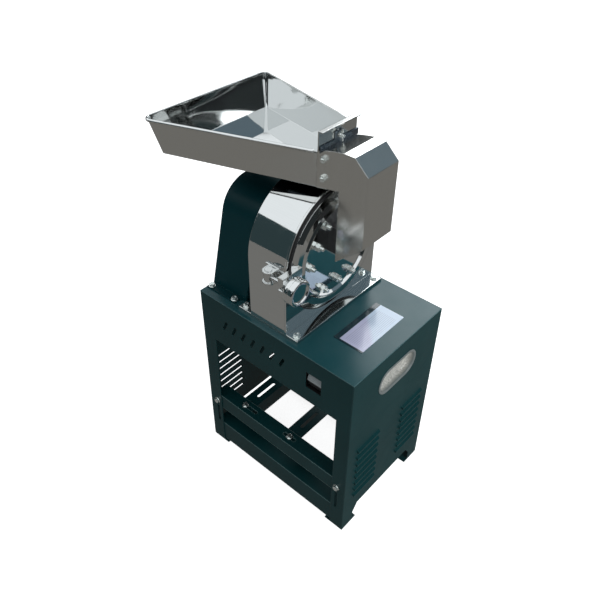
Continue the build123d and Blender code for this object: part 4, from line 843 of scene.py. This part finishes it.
for material, names in finishes.items():
    for name in names:
        slots = nodes[name].data.materials
        slots.clear()
        slots.append(material)
print("finishes given to", sum(len(names) for names in finishes.values()), "nodes")

# camera as in the photograph: where it stands and the three directions of its frame
view = {"place": (0.83997, -0.96852, 1.57558), "right": (0.74974, 0.66162, 0.01252),
        "up": (-0.41942, 0.46048, 0.78234), "back": (0.51185, -0.59180, 0.62273),
        "lens": 39.195, "sensor": 36.0, "shift": (-0.0030, -0.0199), "clipEnd": 60.0}


def addCamera():
    data = bpy.data.cameras.new("photoCamera")
    data.lens = view["lens"]
    data.sensor_width = view["sensor"]
    data.shift_x, data.shift_y = view["shift"]
    data.clip_end = view["clipEnd"]
    camera = bpy.data.objects.new("photoCamera", data)
    turn = Matrix((view["right"], view["up"], view["back"])).transposed()
    camera.matrix_world = Matrix.Translation(view["place"]) @ turn.to_4x4()
    scene.collection.objects.link(camera)
    scene.camera = camera


# studio: pale floor, white surroundings, soft lamps, and cards that the bright metal mirrors
white = (1.0, 1.0, 1.0)
studio = {"floorSize": 40.0, "floor": (0.80, 0.80, 0.80), "floorRoughness": 0.9, "floorLift": 0.85,
          "world": 0.45, "tint": (0.94, 0.98, 1.0), "aim": (0.0, 0.0, 0.55),
          "lamps": [("backSoft", (-0.59, 2.05, 2.08), 1.4, 25.0, True),  # place, size, power, mirrored
                    ("rightSoft", (2.6, -0.2, 1.4), 1.6, 38.0, False)],
          "cardCentre": (0.0, 0.0, 0.75), "cardRadius": 4.2, "cardGap": 0.003, "cardSteps": (49, 17)}
lowScreen = (0.022, 0.026, 0.027)
studioCards = [  # name, azimuths from and to, elevations from and to, brightness
    ("frontScreen", (226.0, 262.0), (-10.0, 28.0), (0.030, 0.050, 0.054)),
    ("frontLowScreen", (180.0, 226.0), (-10.0, 12.0), lowScreen),
    ("rightScreen", (262.0, 332.0), (-10.0, 14.0), lowScreen),
    ("rightLowScreen", (332.0, 346.0), (-10.0, 12.0), lowScreen),
    ("rearLowScreen", (346.0, 412.0), (-10.0, 21.0), lowScreen),
    ("blueScreen", (30.0, 82.0), (20.0, 52.0), (0.14, 0.19, 0.225)),
    ("leftScreen", (78.0, 180.0), (-10.0, 26.0), lowScreen),
    ("cameraScreen", (-85.0, -45.0), (14.0, 33.0), (0.030, 0.036, 0.037)),
    ("greyMat", (0.0, 360.0), (-89.9, -10.0), (0.19, 0.187, 0.177)),
]


def seesBackground(tree):
    path = put(tree, "ShaderNodeLightPath").outputs
    either = sums(tree, "MAXIMUM", path["Is Camera Ray"], path["Is Glossy Ray"])
    return sums(tree, "MAXIMUM", either, path["Is Transmission Ray"])


def addStagePiece(name, points, faces, material):
    mesh = bpy.data.meshes.new(name)
    mesh.from_pydata(points, [], faces)
    mesh.materials.append(material)
    piece = bpy.data.objects.new(name, mesh)
    scene.collection.objects.link(piece)
    return piece


# card: a patch of a wide dome, a grid of elevation by azimuth. Below the horizon it lies flat just over the
# floor. Cards are seen in reflections only
def addCard(name, azimuths, elevations, shade):
    centre, radius = np.array(studio["cardCentre"]), studio["cardRadius"]
    columns, rows = studio["cardSteps"]
    turn = np.radians(np.linspace(*azimuths, columns))
    lift = np.radians(np.linspace(*elevations, rows))[:, None]
    away = gridPoints(np.cos(lift) * np.cos(turn), np.cos(lift) * np.sin(turn), np.sin(lift))
    drop = (studio["cardGap"] - centre[2]) / np.minimum(away[:, 2:], -1e-6)  # never over nought
    reach = np.where(away[:, 2:] < 0, np.minimum(drop, radius), radius)
    material, tree, shader = startMaterial(name)
    fill(tree, shader, {"Base Color": opaque((0.0, 0.0, 0.0)), "Specular IOR Level": 0.0,
                        "Emission Color": opaque(shade), "Emission Strength": 1.0})
    card = addStagePiece(name, (centre + reach * away).tolist(), patchFaces(rows, columns), material)
    card.visible_camera = False
    card.visible_diffuse = False
    card.visible_shadow = False


def addFloor():
    half = studio["floorSize"] / 2
    material, tree, shader = startMaterial("studioFloor")
    glow = sums(tree, "MULTIPLY", seesBackground(tree), studio["floorLift"])
    fill(tree, shader, {"Base Color": opaque(studio["floor"]), "Roughness": studio["floorRoughness"],
                        "Specular IOR Level": 0.0, "Emission Color": opaque(white),
                        "Emission Strength": glow})
    corners = [(-half, -half, 0), (half, -half, 0), (half, half, 0), (-half, half, 0)]
    addStagePiece("studioFloor", corners, [(0, 1, 2, 3)], material)


# surroundings: white behind the object, faintly tinted where they light it or are mirrored in it
def addWorld():
    world = bpy.data.worlds.new("studioWorld")
    world.use_nodes = True
    scene.world = world
    sky = world.node_tree
    sky.nodes.clear()
    strength = remap(sky, seesBackground(sky), fullSpan, (studio["world"], 1.0))
    seen = put(sky, "ShaderNodeLightPath").outputs["Is Camera Ray"]
    shade = mixColour(sky, seen, studio["tint"], white)
    light = put(sky, "ShaderNodeBackground", {"Color": shade, "Strength": strength})
    put(sky, "ShaderNodeOutputWorld", {"Surface": light.outputs["Background"]})


def addLamps():
    for name, place, size, power, mirrored in studio["lamps"]:
        data = bpy.data.lights.new(name, "AREA")
        data.shape = "SQUARE"
        data.size = size
        data.energy = power
        data.color = studio["tint"]
        lamp = bpy.data.objects.new(name, data)
        lamp.location = place
        lamp.visible_glossy = mirrored
        lamp.rotation_euler = (Vector(studio["aim"]) - Vector(place)).to_track_quat("-Z", "Y").to_euler()
        scene.collection.objects.link(lamp)


addCamera()
addFloor()
addWorld()
addLamps()
for card in studioCards:
    addCard(*card)
scene.view_settings.view_transform = "Standard"
print("camera and studio set")
